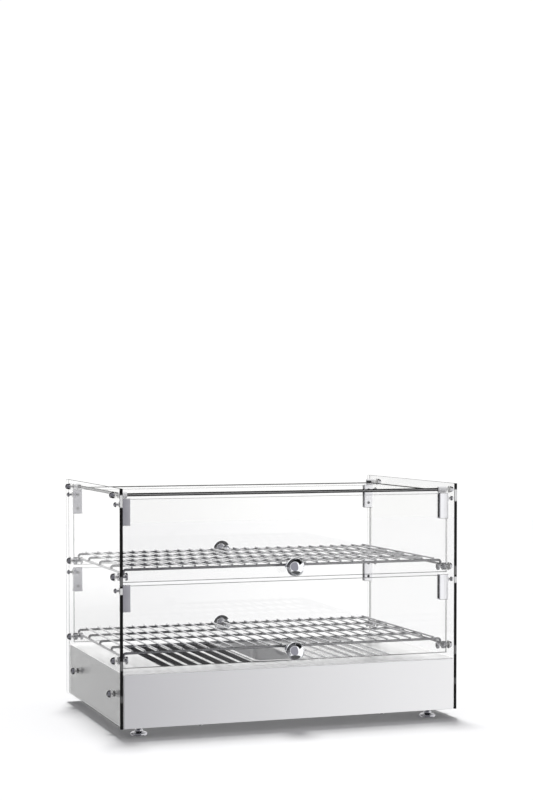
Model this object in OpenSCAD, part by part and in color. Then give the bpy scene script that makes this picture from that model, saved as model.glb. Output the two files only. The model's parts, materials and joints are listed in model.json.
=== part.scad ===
// Counter-top hot food display case: two wire shelves in a glass case over a heated steel base.
// Millimetres, +Z up, origin on the table under the middle of the case, front towards -Y.
// Heights named in the sections are measured from the underside of the base box.

/* [Case] */
// Width over the two side glasses
case_w = 554; // [540:1:570]
// Depth of the side glasses
case_d = 361; // [355:1:380]
// Height of the side glasses
case_h = 361; // [358:1:380]
// Thickness of every glass
glass_t = 5; // [4:0.5:6]
// Height of the base above the table
foot_h = 15; // [14:1:20]

/* [Base] */
// Height of the base box
base_h = 82; // [80:1:84]
// Thickness of the steel sheet
sheet_t = 1.2; // [0.8:0.1:1.5]
// Gap between a side glass and the base wall
side_gap = 1; // [1:0.5:4]
// Width of the folded edges inside the base
fold_w = 12; // [8:1:14]

/* [Deck] */
// Slots on each side of the water tray
slot_count = 7; // [3:1:7]
// Distance from the middle to the first slot
slot_start = 54; // [54:1:56]
// Spacing of the slots
slot_pitch = 22; // [18:1:22]
// Width of a slot
slot_w = 16; // [8:1:17]
// Length of a slot
slot_l = 236; // [180:2:240]
// Depth of the turned-down edge of a slot
lip_h = 5; // [3:0.5:6]

/* [Water tray] */
// Width of the tray over its rim
tray_w = 84; // [78:1:86]
// Length of the tray over its rim
tray_l = 240; // [200:2:250]
// Depth of the tray
tray_h = 34; // [25:1:36]
// Width of the rim
rim_w = 6; // [4:1:8]
// Thickness of the tray's sheet
tray_t = 0.8; // [0.6:0.1:1]

/* [Doors] */
// Distance of the door planes from the middle of the case
door_y = 157.5; // [157:0.5:160]
// Width of a door glass
door_w = 539; // [530:1:540]
// Width of a hinge clip
clip_w = 16; // [14:1:18]
// Height of a hinge clip
clip_h = 41; // [36:1:42]
// Thickness of a hinge clip
clip_t = 10; // [9:0.5:10]
// Diameter of the hinge pivots
pivot_d = 5; // [4:0.5:5]
// Diameter of a door knob
knob_d = 28.5; // [24:0.5:30]
// Distance from a door glass to the middle of its knob
knob_reach = 26; // [22:1:28]

/* [Shelves] */
// Distance of the shelf pins from the middle of the case
pin_y = 148; // [144:1:148]
// Height of the upper shelf pins
upper_pin_h = 226; // [220:1:228]
// Height of the lower shelf pins
lower_pin_h = 99; // [98:1:104]
// Diameter of the long shelf wires
rod_d = 4; // [3.5:0.5:4.5]
// Diameter of the cross wires
cross_d = 3; // [2:0.5:3]
// Number of cross wires
cross_count = 26; // [14:2:26]
// Spacing of the cross wires
cross_pitch = 20; // [16:1:20]

/* [Part to make] */
// Node to draw, or all

/* [Hidden] */
$fn = 48;
eps = 0.01;

// Case
outer_x = case_w / 2;
inner_x = outer_x - glass_t;
half_d = case_d / 2;
wall_x = inner_x - side_gap;
floor_z = foot_h;
deck_z = foot_h + base_h;
front_y = half_d - sheet_t;

// Top glass and its corner fittings
top_h = 350;
top_z = foot_h + top_h;
top_half_w = 265;
top_half_d = 150;
top_bolt_y = 149;
fitting_d = 10;
fitting_l = 14;

// Outside screw heads
bolt_shank_d = 5;
hole_play = 0.4;
washer_t = 0.8;
washer_d = 13;
pin_head_d = 12;
top_head_d = 10;
pivot_head_d = 7.5;
base_bolt_y = 122;
base_bolt_z = foot_h + 45;

// Shelf pins
upper_pin_z = foot_h + upper_pin_h;
lower_pin_z = foot_h + lower_pin_h;
pin_d = 12;
pin_neck_d = 4.4;
pin_l = 15;
pin_neck_near = 6;
pin_neck_w = 6;

// Shelves: heights above the pin axis
side_wire_rise = 4.5;
rod_rise = 10.5;
bend_r = 4;
side_wire_x = inner_x - pin_neck_near - pin_neck_w / 2;
rod_rows = [for (i = [-2 : 2]) i * pin_y / 2];
cross_overhang = 2.5;
weld_sink = 0.4;

// Doors: [glass bottom, glass top, clip top, pivot, knob] heights
upper_door = [218, 344, 345, 336, 236];
lower_door = [88, 213, 214.5, 206, 106];
notch_w = 11.5;
notch_drop = 9;
clip_x = 271;
set_screw_d = 5;
set_screw_step = 11.5;
hex_key = 2.5;
knob_hole_d = 5;
knob_neck_d = 10;
knob_foot_d = 15;
knob_foot_t = 2;
knob_screw_d = 9;
running_play = 0.05;

// Under the deck
cut_w = tray_w - 2 * rim_w + 1;
cut_l = tray_l - 2 * rim_w + 1;
lip_t = 1;
pan_near = 44;
pan_far = 200;
pan_half_l = 125;
pan_t = 0.8;
pan_z = foot_h + 46;
heater_d = 8;
heater_z = pan_z + 14;
heater_rows = [70, 105, 140, 175];
heater_turn_y = 100;
heater_tail_y = 140;

// Rear controls
control_z = foot_h + 42;
thermostat_x = 130;
switch_x = 70;
lamp_x = 30;
gland_x = -200;
dial_d = 34;
shaft_d = 6;
rocker_tilt = 12;
rocker_w = 12;
rocker_l = 22;
rocker_pin_d = 3;
cable_bore_d = 9;

// Bottom cover
cover_screw_x = 150;
cover_screw_d = 3.5;
vent_count = 6;
vent_start = 80;
vent_pitch = 18;
vent_w = 5;
vent_l = 90;

// Feet
foot_x = 240;
foot_y = 150;
foot_d = 25;
stem_d = 8;
nut_af = 13;
nut_h = 4;

// Finishes
steel = [0.80, 0.80, 0.81];
polished = [0.90, 0.90, 0.91];
chrome = [0.86, 0.87, 0.90];
satin = [0.60, 0.60, 0.63];
clear = [0.85, 0.93, 0.92, 0.35];
black = [0.06, 0.06, 0.07];
nylon = [0.92, 0.92, 0.90];
dark_metal = [0.22, 0.21, 0.21];

// ---- helpers ----

// Cylinder along X from x0 to x1
module x_rod(x0, x1, y, z, d) {
    translate([x0, y, z])
        rotate([0, 90, 0])
            cylinder(h = x1 - x0, d = d);
}

// Cylinder along Y from y0 to y1
module y_rod(y0, y1, x, z, d) {
    translate([x, y0, z])
        rotate([-90, 0, 0])
            cylinder(h = y1 - y0, d = d);
}

// Box from its lowest corner to its highest
module block(low, high) {
    translate(low)
        cube(high - low);
}

// The right-hand copy and its mirror image on the left
module both_sides() {
    children();
    mirror([1, 0, 0])
        children();
}

// A piece of the rear right quarter, repeated in all four
module four_corners() {
    both_sides() {
        children();
        mirror([0, 1, 0])
            children();
    }
}

// A piece of the front, or its mirror image at the rear
module at_end(rear) {
    if (rear) {
        mirror([0, 1, 0])
            children();
    } else {
        children();
    }
}

// Flat outline with round ends, lying along Y
module slot_outline(w, l) {
    square([w, l - w], center = true);
    for (end = [-1, 1])
        translate([0, end * (l - w) / 2])
            circle(d = w);
}

// Flat rectangle with round corners
module round_rect(w, l, r) {
    square([w - 2 * r, l], center = true);
    square([w, l - 2 * r], center = true);
    for (i = [-1, 1])
        for (j = [-1, 1])
            translate([i * (w / 2 - r), j * (l / 2 - r)])
                circle(r = r);
}

// ---- base box ----

// Front panel, folded in under the deck and over the bottom cover
module base_end_panel() {
    fold_x = wall_x - sheet_t;
    block([-wall_x, -half_d, floor_z], [wall_x, -front_y, deck_z]);
    block([-fold_x, -front_y, deck_z - 2 * sheet_t],
          [fold_x, -front_y + fold_w, deck_z - sheet_t]);
    difference() {
        block([-fold_x, -front_y, floor_z + sheet_t],
              [fold_x, -front_y + fold_w, floor_z + 2 * sheet_t]);
        for (x = [-cover_screw_x, cover_screw_x])
            translate([x, -front_y + fold_w / 2, floor_z])
                cylinder(h = 4 * sheet_t, d = cover_screw_d);
    }
}

module base_front_panel() {
    color(steel)
        base_end_panel();
}

module base_rear_panel() {
    color(steel)
        difference() {
            at_end(true)
                base_end_panel();
            y_rod(front_y - 1, half_d + 1, thermostat_x, control_z, shaft_d + 2);
            y_rod(front_y - 1, half_d + 1, lamp_x, control_z, 8);
            y_rod(front_y - 1, half_d + 1, gland_x, control_z, 16);
            block([switch_x - 9, front_y - 1, control_z - 13],
                  [switch_x + 9, half_d + 1, control_z + 13]);
        }
}

module base_side_wall() {
    difference() {
        block([wall_x - sheet_t, -front_y, floor_z], [wall_x, front_y, deck_z]);
        for (end = [-1, 1])
            x_rod(wall_x - 2 * sheet_t, wall_x + 1, end * base_bolt_y, base_bolt_z,
                  bolt_shank_d + hole_play);
    }
    block([wall_x - fold_w, -front_y + fold_w, deck_z - 2 * sheet_t],
          [wall_x - sheet_t, front_y - fold_w, deck_z - sheet_t]);
}

module base_right_wall() {
    color(steel)
        base_side_wall();
}

module base_left_wall() {
    color(steel)
        mirror([1, 0, 0])
            base_side_wall();
}

// Centres of the slots to the right of the tray
slot_places = [for (i = [0 : slot_count - 1]) slot_start + i * slot_pitch];

module slot_lips() {
    for (x = slot_places)
        translate([x, 0, deck_z - sheet_t - lip_h])
            linear_extrude(lip_h + sheet_t / 2)
                difference() {
                    slot_outline(slot_w + 2 * lip_t, slot_l + 2 * lip_t);
                    slot_outline(slot_w, slot_l);
                }
}

module deck_plate() {
    color(polished) {
        difference() {
            block([-wall_x + sheet_t, -front_y, deck_z - sheet_t],
                  [wall_x - sheet_t, front_y, deck_z]);
            translate([0, 0, deck_z - 2 * sheet_t])
                linear_extrude(3 * sheet_t)
                    round_rect(cut_w, cut_l, 8);
            both_sides()
                for (x = slot_places)
                    translate([x, 0, deck_z - 2 * sheet_t])
                        linear_extrude(3 * sheet_t)
                            slot_outline(slot_w, slot_l);
        }
        both_sides()
            slot_lips();
    }
}

// Flat cover with two turned-up edges, drilled for the feet, the screws and the air
module bottom_cover() {
    edge_x = wall_x - sheet_t;
    color(steel) {
        difference() {
            block([-edge_x, -front_y, floor_z], [edge_x, front_y, floor_z + sheet_t]);
            four_corners() {
                translate([foot_x, foot_y, floor_z - 1])
                    cylinder(h = sheet_t + 2, d = stem_d + 1);
                translate([cover_screw_x, front_y - fold_w / 2, floor_z - 1])
                    cylinder(h = sheet_t + 2, d = cover_screw_d);
            }
            both_sides()
                for (i = [0 : vent_count - 1])
                    translate([vent_start + i * vent_pitch, 0, floor_z - 1])
                        linear_extrude(sheet_t + 2)
                            slot_outline(vent_w, vent_l);
        }
        both_sides()
            block([edge_x - sheet_t, -front_y + fold_w + 1, floor_z],
                  [edge_x, front_y - fold_w - 1, floor_z + fold_w]);
    }
}

module bottom_cover_screws() {
    color(chrome)
        four_corners()
            translate([cover_screw_x, front_y - fold_w / 2, floor_z - 2]) {
                cylinder(h = 2, d1 = 5, d2 = 8);
                cylinder(h = 8, d = cover_screw_d);
            }
}

// Hexagonal nuts below the cover and under it, bored for the foot stems
module foot_nuts() {
    color(chrome)
        four_corners()
            translate([foot_x, foot_y, 0])
                difference() {
                    union() {
                        translate([0, 0, floor_z - nut_h])
                            cylinder(h = nut_h, d = nut_af / cos(30), $fn = 6);
                        translate([0, 0, floor_z - eps])
                            cylinder(h = sheet_t + 2 * eps, d = stem_d + 1);
                        translate([0, 0, floor_z + sheet_t])
                            cylinder(h = 8, d = nut_af / cos(30), $fn = 6);
                    }
                    translate([0, 0, floor_z - nut_h - 1])
                        cylinder(h = nut_h + sheet_t + 10, d = stem_d + 2 * running_play);
                }
}

module foot(x, y) {
    color(chrome)
        translate([x, y, 0]) {
            cylinder(h = 1.5, d1 = foot_d - 2, d2 = foot_d);
            translate([0, 0, 1.5])
                cylinder(h = 2.5, d = foot_d);
            translate([0, 0, 4])
                cylinder(h = 2, d1 = foot_d, d2 = 14);
            translate([0, 0, 6])
                cylinder(h = 3, d = 12);
            cylinder(h = 40, d = stem_d);
        }
}

// ---- heating under the deck ----

module heat_pan() {
    difference() {
        block([pan_near, -pan_half_l, pan_z], [pan_far, pan_half_l, deck_z - sheet_t]);
        block([pan_near + pan_t, -pan_half_l + pan_t, pan_z + pan_t],
              [pan_far - pan_t, pan_half_l - pan_t, deck_z]);
        for (x = [heater_rows[0], heater_rows[3]])
            y_rod(pan_half_l - 5, pan_half_l + 5, x, heater_z, heater_d + 1);
    }
}

module heat_pan_right() {
    color(polished)
        heat_pan();
}

module heat_pan_left() {
    color(dark_metal)
        mirror([1, 0, 0])
            heat_pan();
}

// Half turn between two neighbouring heater rows, at the front or the rear
module heater_turn(x0, x1, end) {
    translate([(x0 + x1) / 2, end * heater_turn_y, heater_z])
        rotate([0, 0, end > 0 ? 0 : 180])
            rotate_extrude(angle = 180)
                translate([(x1 - x0) / 2, 0])
                    circle(d = heater_d);
}

module heater() {
    for (i = [0 : 3])
        y_rod(-heater_turn_y, i == 0 || i == 3 ? heater_tail_y : heater_turn_y,
              heater_rows[i], heater_z, heater_d);
    heater_turn(heater_rows[0], heater_rows[1], -1);
    heater_turn(heater_rows[1], heater_rows[2], 1);
    heater_turn(heater_rows[2], heater_rows[3], -1);
    for (x = [heater_rows[0], heater_rows[3]])
        y_rod(heater_tail_y, heater_tail_y + 10, x, heater_z, 4);
}

module heater_right() {
    color(dark_metal)
        heater();
}

module heater_left() {
    color(dark_metal)
        mirror([1, 0, 0])
            heater();
}

// Folded straps that hold the heater tubes off the pans
module heater_brackets() {
    color(satin)
        both_sides()
            for (y = [-70, 70])
                difference() {
                    block([heater_rows[0] - 10, y - 5, pan_z + pan_t],
                          [heater_rows[3] + 10, y + 5, heater_z + 2]);
                    block([heater_rows[0] - 9, y - 6, pan_z],
                          [heater_rows[3] + 9, y + 6, heater_z - 6]);
                    for (x = heater_rows)
                        y_rod(y - 6, y + 6, x, heater_z, heater_d);
                }
}

// ---- rear controls ----

module thermostat_body() {
    color(satin)
        difference() {
            union() {
                block([thermostat_x - 18, front_y - 34, control_z - 16],
                      [thermostat_x + 18, front_y - 6, control_z + 16]);
                y_rod(front_y - 6, front_y, thermostat_x, control_z, 22);
            }
            y_rod(front_y - 25, front_y + 1, thermostat_x, control_z,
                  shaft_d + 2 * running_play);
        }
}

// Sensing bulb under the deck and the thin tube that joins it to the thermostat
module thermostat_bulb() {
    bulb_y = pan_half_l + 6;
    color("peru") {
        x_rod(60, 104, bulb_y, deck_z - 8, 6);
        x_rod(104, 120, bulb_y, deck_z - 8, 1.6);
        translate([120, bulb_y, deck_z - 8])
            sphere(d = 1.6);
        y_rod(bulb_y, front_y - 20, 120, deck_z - 8, 1.6);
        translate([120, front_y - 20, deck_z - 8])
            sphere(d = 1.6);
        translate([120, front_y - 20, control_z + 16])
            cylinder(h = deck_z - 8 - control_z - 16, d = 1.6);
    }
}

module thermostat_knob() {
    color(black)
        difference() {
            union() {
                y_rod(front_y - 22, half_d + 8, thermostat_x, control_z, shaft_d);
                y_rod(half_d + 1, half_d + 4, thermostat_x, control_z, dial_d);
                translate([thermostat_x, half_d + 4, control_z])
                    rotate([-90, 0, 0])
                        cylinder(h = 12, d1 = dial_d - 6, d2 = dial_d - 9);
            }
            block([thermostat_x - 0.8, half_d + 15, control_z + 2],
                  [thermostat_x + 0.8, half_d + 17, control_z + dial_d / 2]);
        }
}

module switch_body() {
    color(black)
        difference() {
            union() {
                block([switch_x - 11, half_d, control_z - 15],
                      [switch_x + 11, half_d + 2, control_z + 15]);
                block([switch_x - 9, front_y - 22, control_z - 13],
                      [switch_x + 9, half_d, control_z + 13]);
            }
            block([switch_x - rocker_w / 2 - 0.6, half_d - 9, control_z - rocker_l / 2 - 1],
                  [switch_x + rocker_w / 2 + 0.6, half_d + 3, control_z + rocker_l / 2 + 1]);
            x_rod(switch_x - 8.5, switch_x + 8.5, half_d, control_z,
                  rocker_pin_d + 2 * running_play);
        }
}

// Rocker drawn in its off position, tilted about its pin
module switch_rocker() {
    color(black)
        translate([switch_x, half_d, control_z])
            rotate([rocker_tilt, 0, 0]) {
                rotate([90, 0, 90])
                    translate([0, 0, -rocker_w / 2])
                        linear_extrude(rocker_w)
                            polygon([[-3, -6], [3, -9], [5.5, -9], [3.4, 0],
                                     [5.5, 9], [3, 9], [-3, 6]]);
                x_rod(-8, 8, 0, 0, rocker_pin_d);
            }
}

module pilot_lamp() {
    color("orange") {
        y_rod(front_y - 18, half_d + 0.5, lamp_x, control_z, 7.6);
        y_rod(half_d, half_d + 2, lamp_x, control_z, 12);
        translate([lamp_x, half_d + 2, control_z])
            rotate([-90, 0, 0])
                cylinder(h = 4, d1 = 9, d2 = 5);
    }
}

module cable_gland() {
    color(black)
        difference() {
            union() {
                y_rod(front_y - 10, half_d + 4, gland_x, control_z, 15.6);
                translate([gland_x, half_d, control_z])
                    rotate([-90, 0, 0])
                        cylinder(h = 5, d = 24, $fn = 6);
                translate([gland_x, half_d + 5, control_z])
                    rotate([-90, 0, 0])
                        cylinder(h = 10, d1 = 19, d2 = 14);
                translate([gland_x, front_y - 5, control_z])
                    rotate([-90, 0, 0])
                        cylinder(h = 5, d = 24, $fn = 6);
            }
            y_rod(front_y - 11, half_d + 16, gland_x, control_z, cable_bore_d);
        }
}

module terminal_block() {
    color(nylon)
        difference() {
            block([-130, 146, floor_z + sheet_t], [-86, 164, floor_z + 18]);
            for (i = [0 : 3])
                translate([-124.5 + i * 11, 155, floor_z + 10])
                    cylinder(h = 10, d = 5);
        }
}

// A wire that follows a list of points, round at each corner
module wire(points, d) {
    for (i = [0 : len(points) - 2]) {
        run = points[i + 1] - points[i];
        translate(points[i])
            rotate([0, acos(run[2] / norm(run)), atan2(run[1], run[0])])
                cylinder(h = norm(run), d = d);
    }
    for (i = [1 : len(points) - 2])
        translate(points[i])
            sphere(d = d);
}

module internal_wires() {
    low = floor_z + 26;
    top = floor_z + 10;
    tail = heater_tail_y + 10;
    color("firebrick") {
        wire([[-124.5, 155, top], [-124.5, 155, low], [-heater_rows[3], 155, low],
              [-heater_rows[3], 155, heater_z], [-heater_rows[3], tail, heater_z]], 2.4);
        wire([[-113.5, 155, top], [-113.5, 155, heater_z], [-heater_rows[0], 155, heater_z],
              [-heater_rows[0], tail, heater_z]], 2.4);
        wire([[-102.5, 155, top], [-102.5, 155, low], [switch_x, 155, low],
              [switch_x, 155, control_z], [switch_x, front_y - 22, control_z]], 2.4);
        wire([[-91.5, 155, top], [-91.5, 155, low - 5], [thermostat_x, 155, low - 5],
              [thermostat_x, 155, control_z - 16]], 2.4);
        wire([[heater_rows[0], tail, heater_z], [heater_rows[0], 158, heater_z],
              [lamp_x, 158, heater_z], [lamp_x, 158, control_z],
              [lamp_x, front_y - 18, control_z]], 2.4);
        wire([[heater_rows[3], tail, heater_z], [heater_rows[3], 155, heater_z],
              [heater_rows[3], 155, control_z], [thermostat_x + 18, 155, control_z]], 2.4);
    }
}

// ---- water tray ----

module water_tray() {
    body_w = tray_w - 2 * rim_w;
    body_l = tray_l - 2 * rim_w;
    rim_z = deck_z + 0.1;
    color(polished) {
        difference() {
            translate([0, 0, rim_z + tray_t - tray_h])
                linear_extrude(tray_h)
                    round_rect(body_w, body_l, 8);
            translate([0, 0, rim_z + 2 * tray_t - tray_h])
                linear_extrude(tray_h)
                    round_rect(body_w - 2 * tray_t, body_l - 2 * tray_t, 8 - tray_t);
        }
        difference() {
            translate([0, 0, rim_z])
                linear_extrude(tray_t)
                    round_rect(tray_w, tray_l, 12);
            translate([0, 0, rim_z - 1])
                linear_extrude(tray_t + 2)
                    round_rect(body_w - 2 * tray_t, body_l - 2 * tray_t, 8 - tray_t);
        }
    }
}

// ---- side and top glasses, and what holds them ----

module side_glass() {
    color(clear)
        difference() {
            block([inner_x, -half_d, floor_z], [outer_x, half_d, floor_z + case_h]);
            for (end = [-1, 1]) {
                for (z = [upper_pin_z, lower_pin_z])
                    glass_hole(end * pin_y, z, bolt_shank_d);
                for (door = [upper_door, lower_door])
                    glass_hole(end * door_y, foot_h + door[3], pivot_d);
                glass_hole(end * top_bolt_y, top_z, bolt_shank_d);
                glass_hole(end * base_bolt_y, base_bolt_z, bolt_shank_d);
            }
        }
}

module glass_hole(y, z, d) {
    x_rod(inner_x - 1, outer_x + 1, y, z, d + hole_play);
}

module side_glass_right() {
    side_glass();
}

module side_glass_left() {
    mirror([1, 0, 0])
        side_glass();
}

module top_glass() {
    color(clear)
        block([-top_half_w, -top_half_d, top_z - glass_t / 2],
              [top_half_w, top_half_d, top_z + glass_t / 2]);
}

// Round bosses inside the side glasses, slotted to grip the corners of the top glass
module top_fittings() {
    color(satin)
        four_corners()
            difference() {
                x_rod(inner_x - fitting_l, inner_x, top_bolt_y, top_z, fitting_d);
                block([inner_x - fitting_l - 1, top_bolt_y - fitting_d, top_z - glass_t / 2],
                      [top_half_w, top_half_d, top_z + glass_t / 2]);
                x_rod(top_half_w + 2, inner_x + 1, top_bolt_y, top_z, bolt_shank_d);
            }
}

// Round head outside the right-hand glass, with its shank reaching in to x_end
module outside_bolt(y, z, head_d, head_t, x_end) {
    face_x = outer_x + washer_t;
    x_rod(face_x, face_x + head_t * 0.6, y, z, head_d);
    translate([face_x + head_t * 0.6, y, z])
        rotate([0, 90, 0])
            cylinder(h = head_t * 0.4, d1 = head_d, d2 = head_d * 0.6);
    x_rod(x_end, face_x, y, z, bolt_shank_d);
}

module top_bolts() {
    color(chrome)
        four_corners()
            outside_bolt(top_bolt_y, top_z, top_head_d, 7, top_half_w + 2);
}

module base_bolts() {
    color(chrome)
        four_corners() {
            outside_bolt(base_bolt_y, base_bolt_z, pin_head_d, 6, wall_x - 8);
            translate([wall_x - sheet_t - 4, base_bolt_y, base_bolt_z])
                rotate([0, 90, 0])
                    cylinder(h = 4, d = 9.2, $fn = 6);
        }
}

// Rubber rings between the base walls and the side glasses
module side_spacers() {
    color(black)
        four_corners()
            difference() {
                x_rod(wall_x, inner_x, base_bolt_y, base_bolt_z, 16);
                x_rod(wall_x - 1, inner_x + 1, base_bolt_y, base_bolt_z,
                      bolt_shank_d + hole_play);
            }
}

module outer_washer(y, z, d) {
    difference() {
        x_rod(outer_x, outer_x + washer_t, y, z, d);
        x_rod(outer_x - 1, outer_x + washer_t + 1, y, z, bolt_shank_d);
    }
}

module hinge_washer(z) {
    difference() {
        x_rod(inner_x - 0.6, inner_x, door_y, z, 9);
        x_rod(inner_x - 1, inner_x + 1, door_y, z, pivot_d);
    }
}

module glass_washers() {
    color(nylon)
        four_corners() {
            outer_washer(top_bolt_y, top_z, washer_d - 2);
            outer_washer(base_bolt_y, base_bolt_z, washer_d);
            outer_washer(pin_y, upper_pin_z, washer_d);
            outer_washer(pin_y, lower_pin_z, washer_d);
            hinge_washer(foot_h + upper_door[3]);
            hinge_washer(foot_h + lower_door[3]);
        }
}

// Grooved standoffs that carry the side wires of the shelves
module shelf_pin(z) {
    near_x = inner_x - pin_neck_near;
    difference() {
        union() {
            x_rod(near_x, inner_x, pin_y, z, pin_d);
            x_rod(near_x - pin_neck_w, near_x, pin_y, z, pin_neck_d);
            x_rod(inner_x - pin_l, near_x - pin_neck_w, pin_y, z, pin_d);
        }
        x_rod(near_x + 1, inner_x + 1, pin_y, z, bolt_shank_d);
    }
}

module shelf_pins() {
    color(chrome)
        four_corners()
            for (z = [upper_pin_z, lower_pin_z])
                shelf_pin(z);
}

module shelf_pin_screws() {
    color(chrome)
        four_corners()
            for (z = [upper_pin_z, lower_pin_z])
                outside_bolt(pin_y, z, pin_head_d, 6, inner_x - pin_neck_near + 1);
}

// Pivot screws of the doors, from the outside of the side glass into the clips
module hinge_pivots() {
    color(chrome)
        four_corners()
            for (door = [upper_door, lower_door])
                translate([0, door_y, foot_h + door[3]]) {
                    x_rod(inner_x - 11, outer_x, 0, 0, pivot_d);
                    x_rod(outer_x, outer_x + 2, 0, 0, pivot_head_d);
                    translate([outer_x + 2, 0, 0])
                        rotate([0, 90, 0])
                            cylinder(h = 1.5, d1 = pivot_head_d, d2 = pivot_head_d - 3);
                }
}

// ---- doors, drawn at the front and mirrored for the rear ----

// Glass with a notch at each top corner, where the hinge clip is solid
module door_glass(door, rear) {
    notch_z = foot_h + door[3] - notch_drop;
    color(clear)
        at_end(rear)
            difference() {
                block([-door_w / 2, -door_y - glass_t / 2, foot_h + door[0]],
                      [door_w / 2, -door_y + glass_t / 2, foot_h + door[1]]);
                both_sides()
                    block([door_w / 2 - notch_w, -door_y - glass_t, notch_z],
                          [door_w / 2 + 1, -door_y + glass_t, foot_h + door[1] + 1]);
                y_rod(-door_y - glass_t, -door_y + glass_t, 0, foot_h + door[4], knob_hole_d);
            }
}

module door_clips(door, rear) {
    clip_low = foot_h + door[2] - clip_h;
    notch_z = foot_h + door[3] - notch_drop;
    set_z = foot_h + door[2] - clip_h / 2;
    color(satin)
        at_end(rear)
            both_sides()
                difference() {
                    block([clip_x - clip_w, -door_y - clip_t / 2, clip_low],
                          [clip_x, -door_y + clip_t / 2, foot_h + door[2]]);
                    block([clip_x - clip_w - 1, -door_y - glass_t / 2, clip_low - 1],
                          [door_w / 2, -door_y + glass_t / 2, notch_z]);
                    block([clip_x - clip_w - 1, -door_y - glass_t / 2, clip_low - 1],
                          [door_w / 2 - notch_w, -door_y + glass_t / 2, foot_h + door[1]]);
                    x_rod(inner_x - 11.5, clip_x + 1, -door_y, foot_h + door[3],
                          pivot_d + 2 * running_play);
                    for (step = [-set_screw_step, set_screw_step])
                        y_rod(-door_y + clip_t / 2 - 2, -door_y + clip_t / 2 + 1,
                              clip_x - clip_w / 2, set_z + step, set_screw_d);
                }
}

module door_set_screws(door, rear) {
    set_z = foot_h + door[2] - clip_h / 2;
    face_y = -door_y + clip_t / 2;
    color(chrome)
        at_end(rear)
            both_sides()
                for (step = [-set_screw_step, set_screw_step])
                    difference() {
                        y_rod(face_y - 2, face_y - 0.2, clip_x - clip_w / 2, set_z + step,
                              set_screw_d);
                        translate([clip_x - clip_w / 2, face_y - 1.2, set_z + step])
                            rotate([-90, 0, 0])
                                cylinder(h = 2, d = hex_key, $fn = 6);
                    }
}

module door_knob(door, rear) {
    face_y = -door_y - glass_t / 2;
    ball_y = face_y - knob_reach;
    z = foot_h + door[4];
    color(chrome)
        at_end(rear)
            difference() {
                union() {
                    y_rod(face_y - knob_foot_t, face_y, 0, z, knob_foot_d);
                    y_rod(ball_y, face_y, 0, z, knob_neck_d);
                    translate([0, ball_y, z])
                        sphere(d = knob_d);
                }
                y_rod(ball_y + 4, face_y + 1, 0, z, 4);
            }
}

module door_knob_screw(door, rear) {
    face_y = -door_y - glass_t / 2;
    inside_y = -door_y + glass_t / 2;
    z = foot_h + door[4];
    color(chrome)
        at_end(rear)
            difference() {
                union() {
                    y_rod(face_y - knob_reach + 4, inside_y, 0, z, 4);
                    y_rod(inside_y, inside_y + 0.8, 0, z, knob_screw_d + 3);
                    y_rod(inside_y + 0.8, inside_y + 2.4, 0, z, knob_screw_d);
                }
                block([-3, inside_y + 1.6, z - 0.5], [3, inside_y + 3, z + 0.5]);
                block([-0.5, inside_y + 1.6, z - 3], [0.5, inside_y + 3, z + 3]);
            }
}

// ---- wire shelves ----

// Quarter bend at the right-hand end of a long wire, turning down
module rod_end(y, rod_z, side_z) {
    translate([side_wire_x - bend_r, y, rod_z - bend_r])
        rotate([90, 0, 0])
            rotate_extrude(angle = 90)
                translate([bend_r, 0])
                    circle(d = rod_d);
    translate([side_wire_x, y, side_z])
        cylinder(h = rod_z - bend_r - side_z, d = rod_d);
}

module rack(pin_z) {
    rod_z = pin_z + rod_rise;
    side_z = pin_z + side_wire_rise;
    cross_z = rod_z + rod_d / 2 + cross_d / 2 - weld_sink;
    cross_end = rod_rows[4] + cross_overhang;
    straight_x = side_wire_x - bend_r;
    color(chrome) {
        for (y = rod_rows) {
            x_rod(-straight_x, straight_x, y, rod_z, rod_d);
            both_sides()
                rod_end(y, rod_z, side_z);
        }
        both_sides()
            y_rod(-cross_end, cross_end, side_wire_x, side_z, rod_d);
        for (i = [0 : cross_count - 1])
            y_rod(-cross_end, cross_end, (i - (cross_count - 1) / 2) * cross_pitch,
                  cross_z, cross_d);
    }
}

// ---- one node at a time ----

base_front_panel();
base_rear_panel();
base_left_wall();
base_right_wall();
deck_plate();
bottom_cover();
bottom_cover_screws();
foot_nuts();
heat_pan_left();
heat_pan_right();
heater_left();
heater_right();
heater_brackets();
thermostat_body();
thermostat_bulb();
thermostat_knob();
switch_body();
switch_rocker();
pilot_lamp();
cable_gland();
terminal_block();
internal_wires();
foot(-foot_x, -foot_y);  // foot_front_left
foot(foot_x, -foot_y);  // foot_front_right
foot(-foot_x, foot_y);  // foot_rear_left
foot(foot_x, foot_y);  // foot_rear_right
water_tray();
side_glass_left();
side_glass_right();
top_glass();
top_fittings();
top_bolts();
base_bolts();
side_spacers();
glass_washers();
shelf_pins();
shelf_pin_screws();
hinge_pivots();
door_glass(upper_door, false);  // front_upper_glass
door_clips(upper_door, false);  // front_upper_clips
door_set_screws(upper_door, false);  // front_upper_set_screws
door_knob(upper_door, false);  // front_upper_knob
door_knob_screw(upper_door, false);  // front_upper_knob_screw
door_glass(lower_door, false);  // front_lower_glass
door_clips(lower_door, false);  // front_lower_clips
door_set_screws(lower_door, false);  // front_lower_set_screws
door_knob(lower_door, false);  // front_lower_knob
door_knob_screw(lower_door, false);  // front_lower_knob_screw
door_glass(upper_door, true);  // rear_upper_glass
door_clips(upper_door, true);  // rear_upper_clips
door_set_screws(upper_door, true);  // rear_upper_set_screws
door_knob(upper_door, true);  // rear_upper_knob
door_knob_screw(upper_door, true);  // rear_upper_knob_screw
door_glass(lower_door, true);  // rear_lower_glass
door_clips(lower_door, true);  // rear_lower_clips
door_set_screws(lower_door, true);  // rear_lower_set_screws
door_knob(lower_door, true);  // rear_lower_knob
door_knob_screw(lower_door, true);  // rear_lower_knob_screw
rack(upper_pin_z);  // upper_rack
rack(lower_pin_z);  // lower_rack
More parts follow.
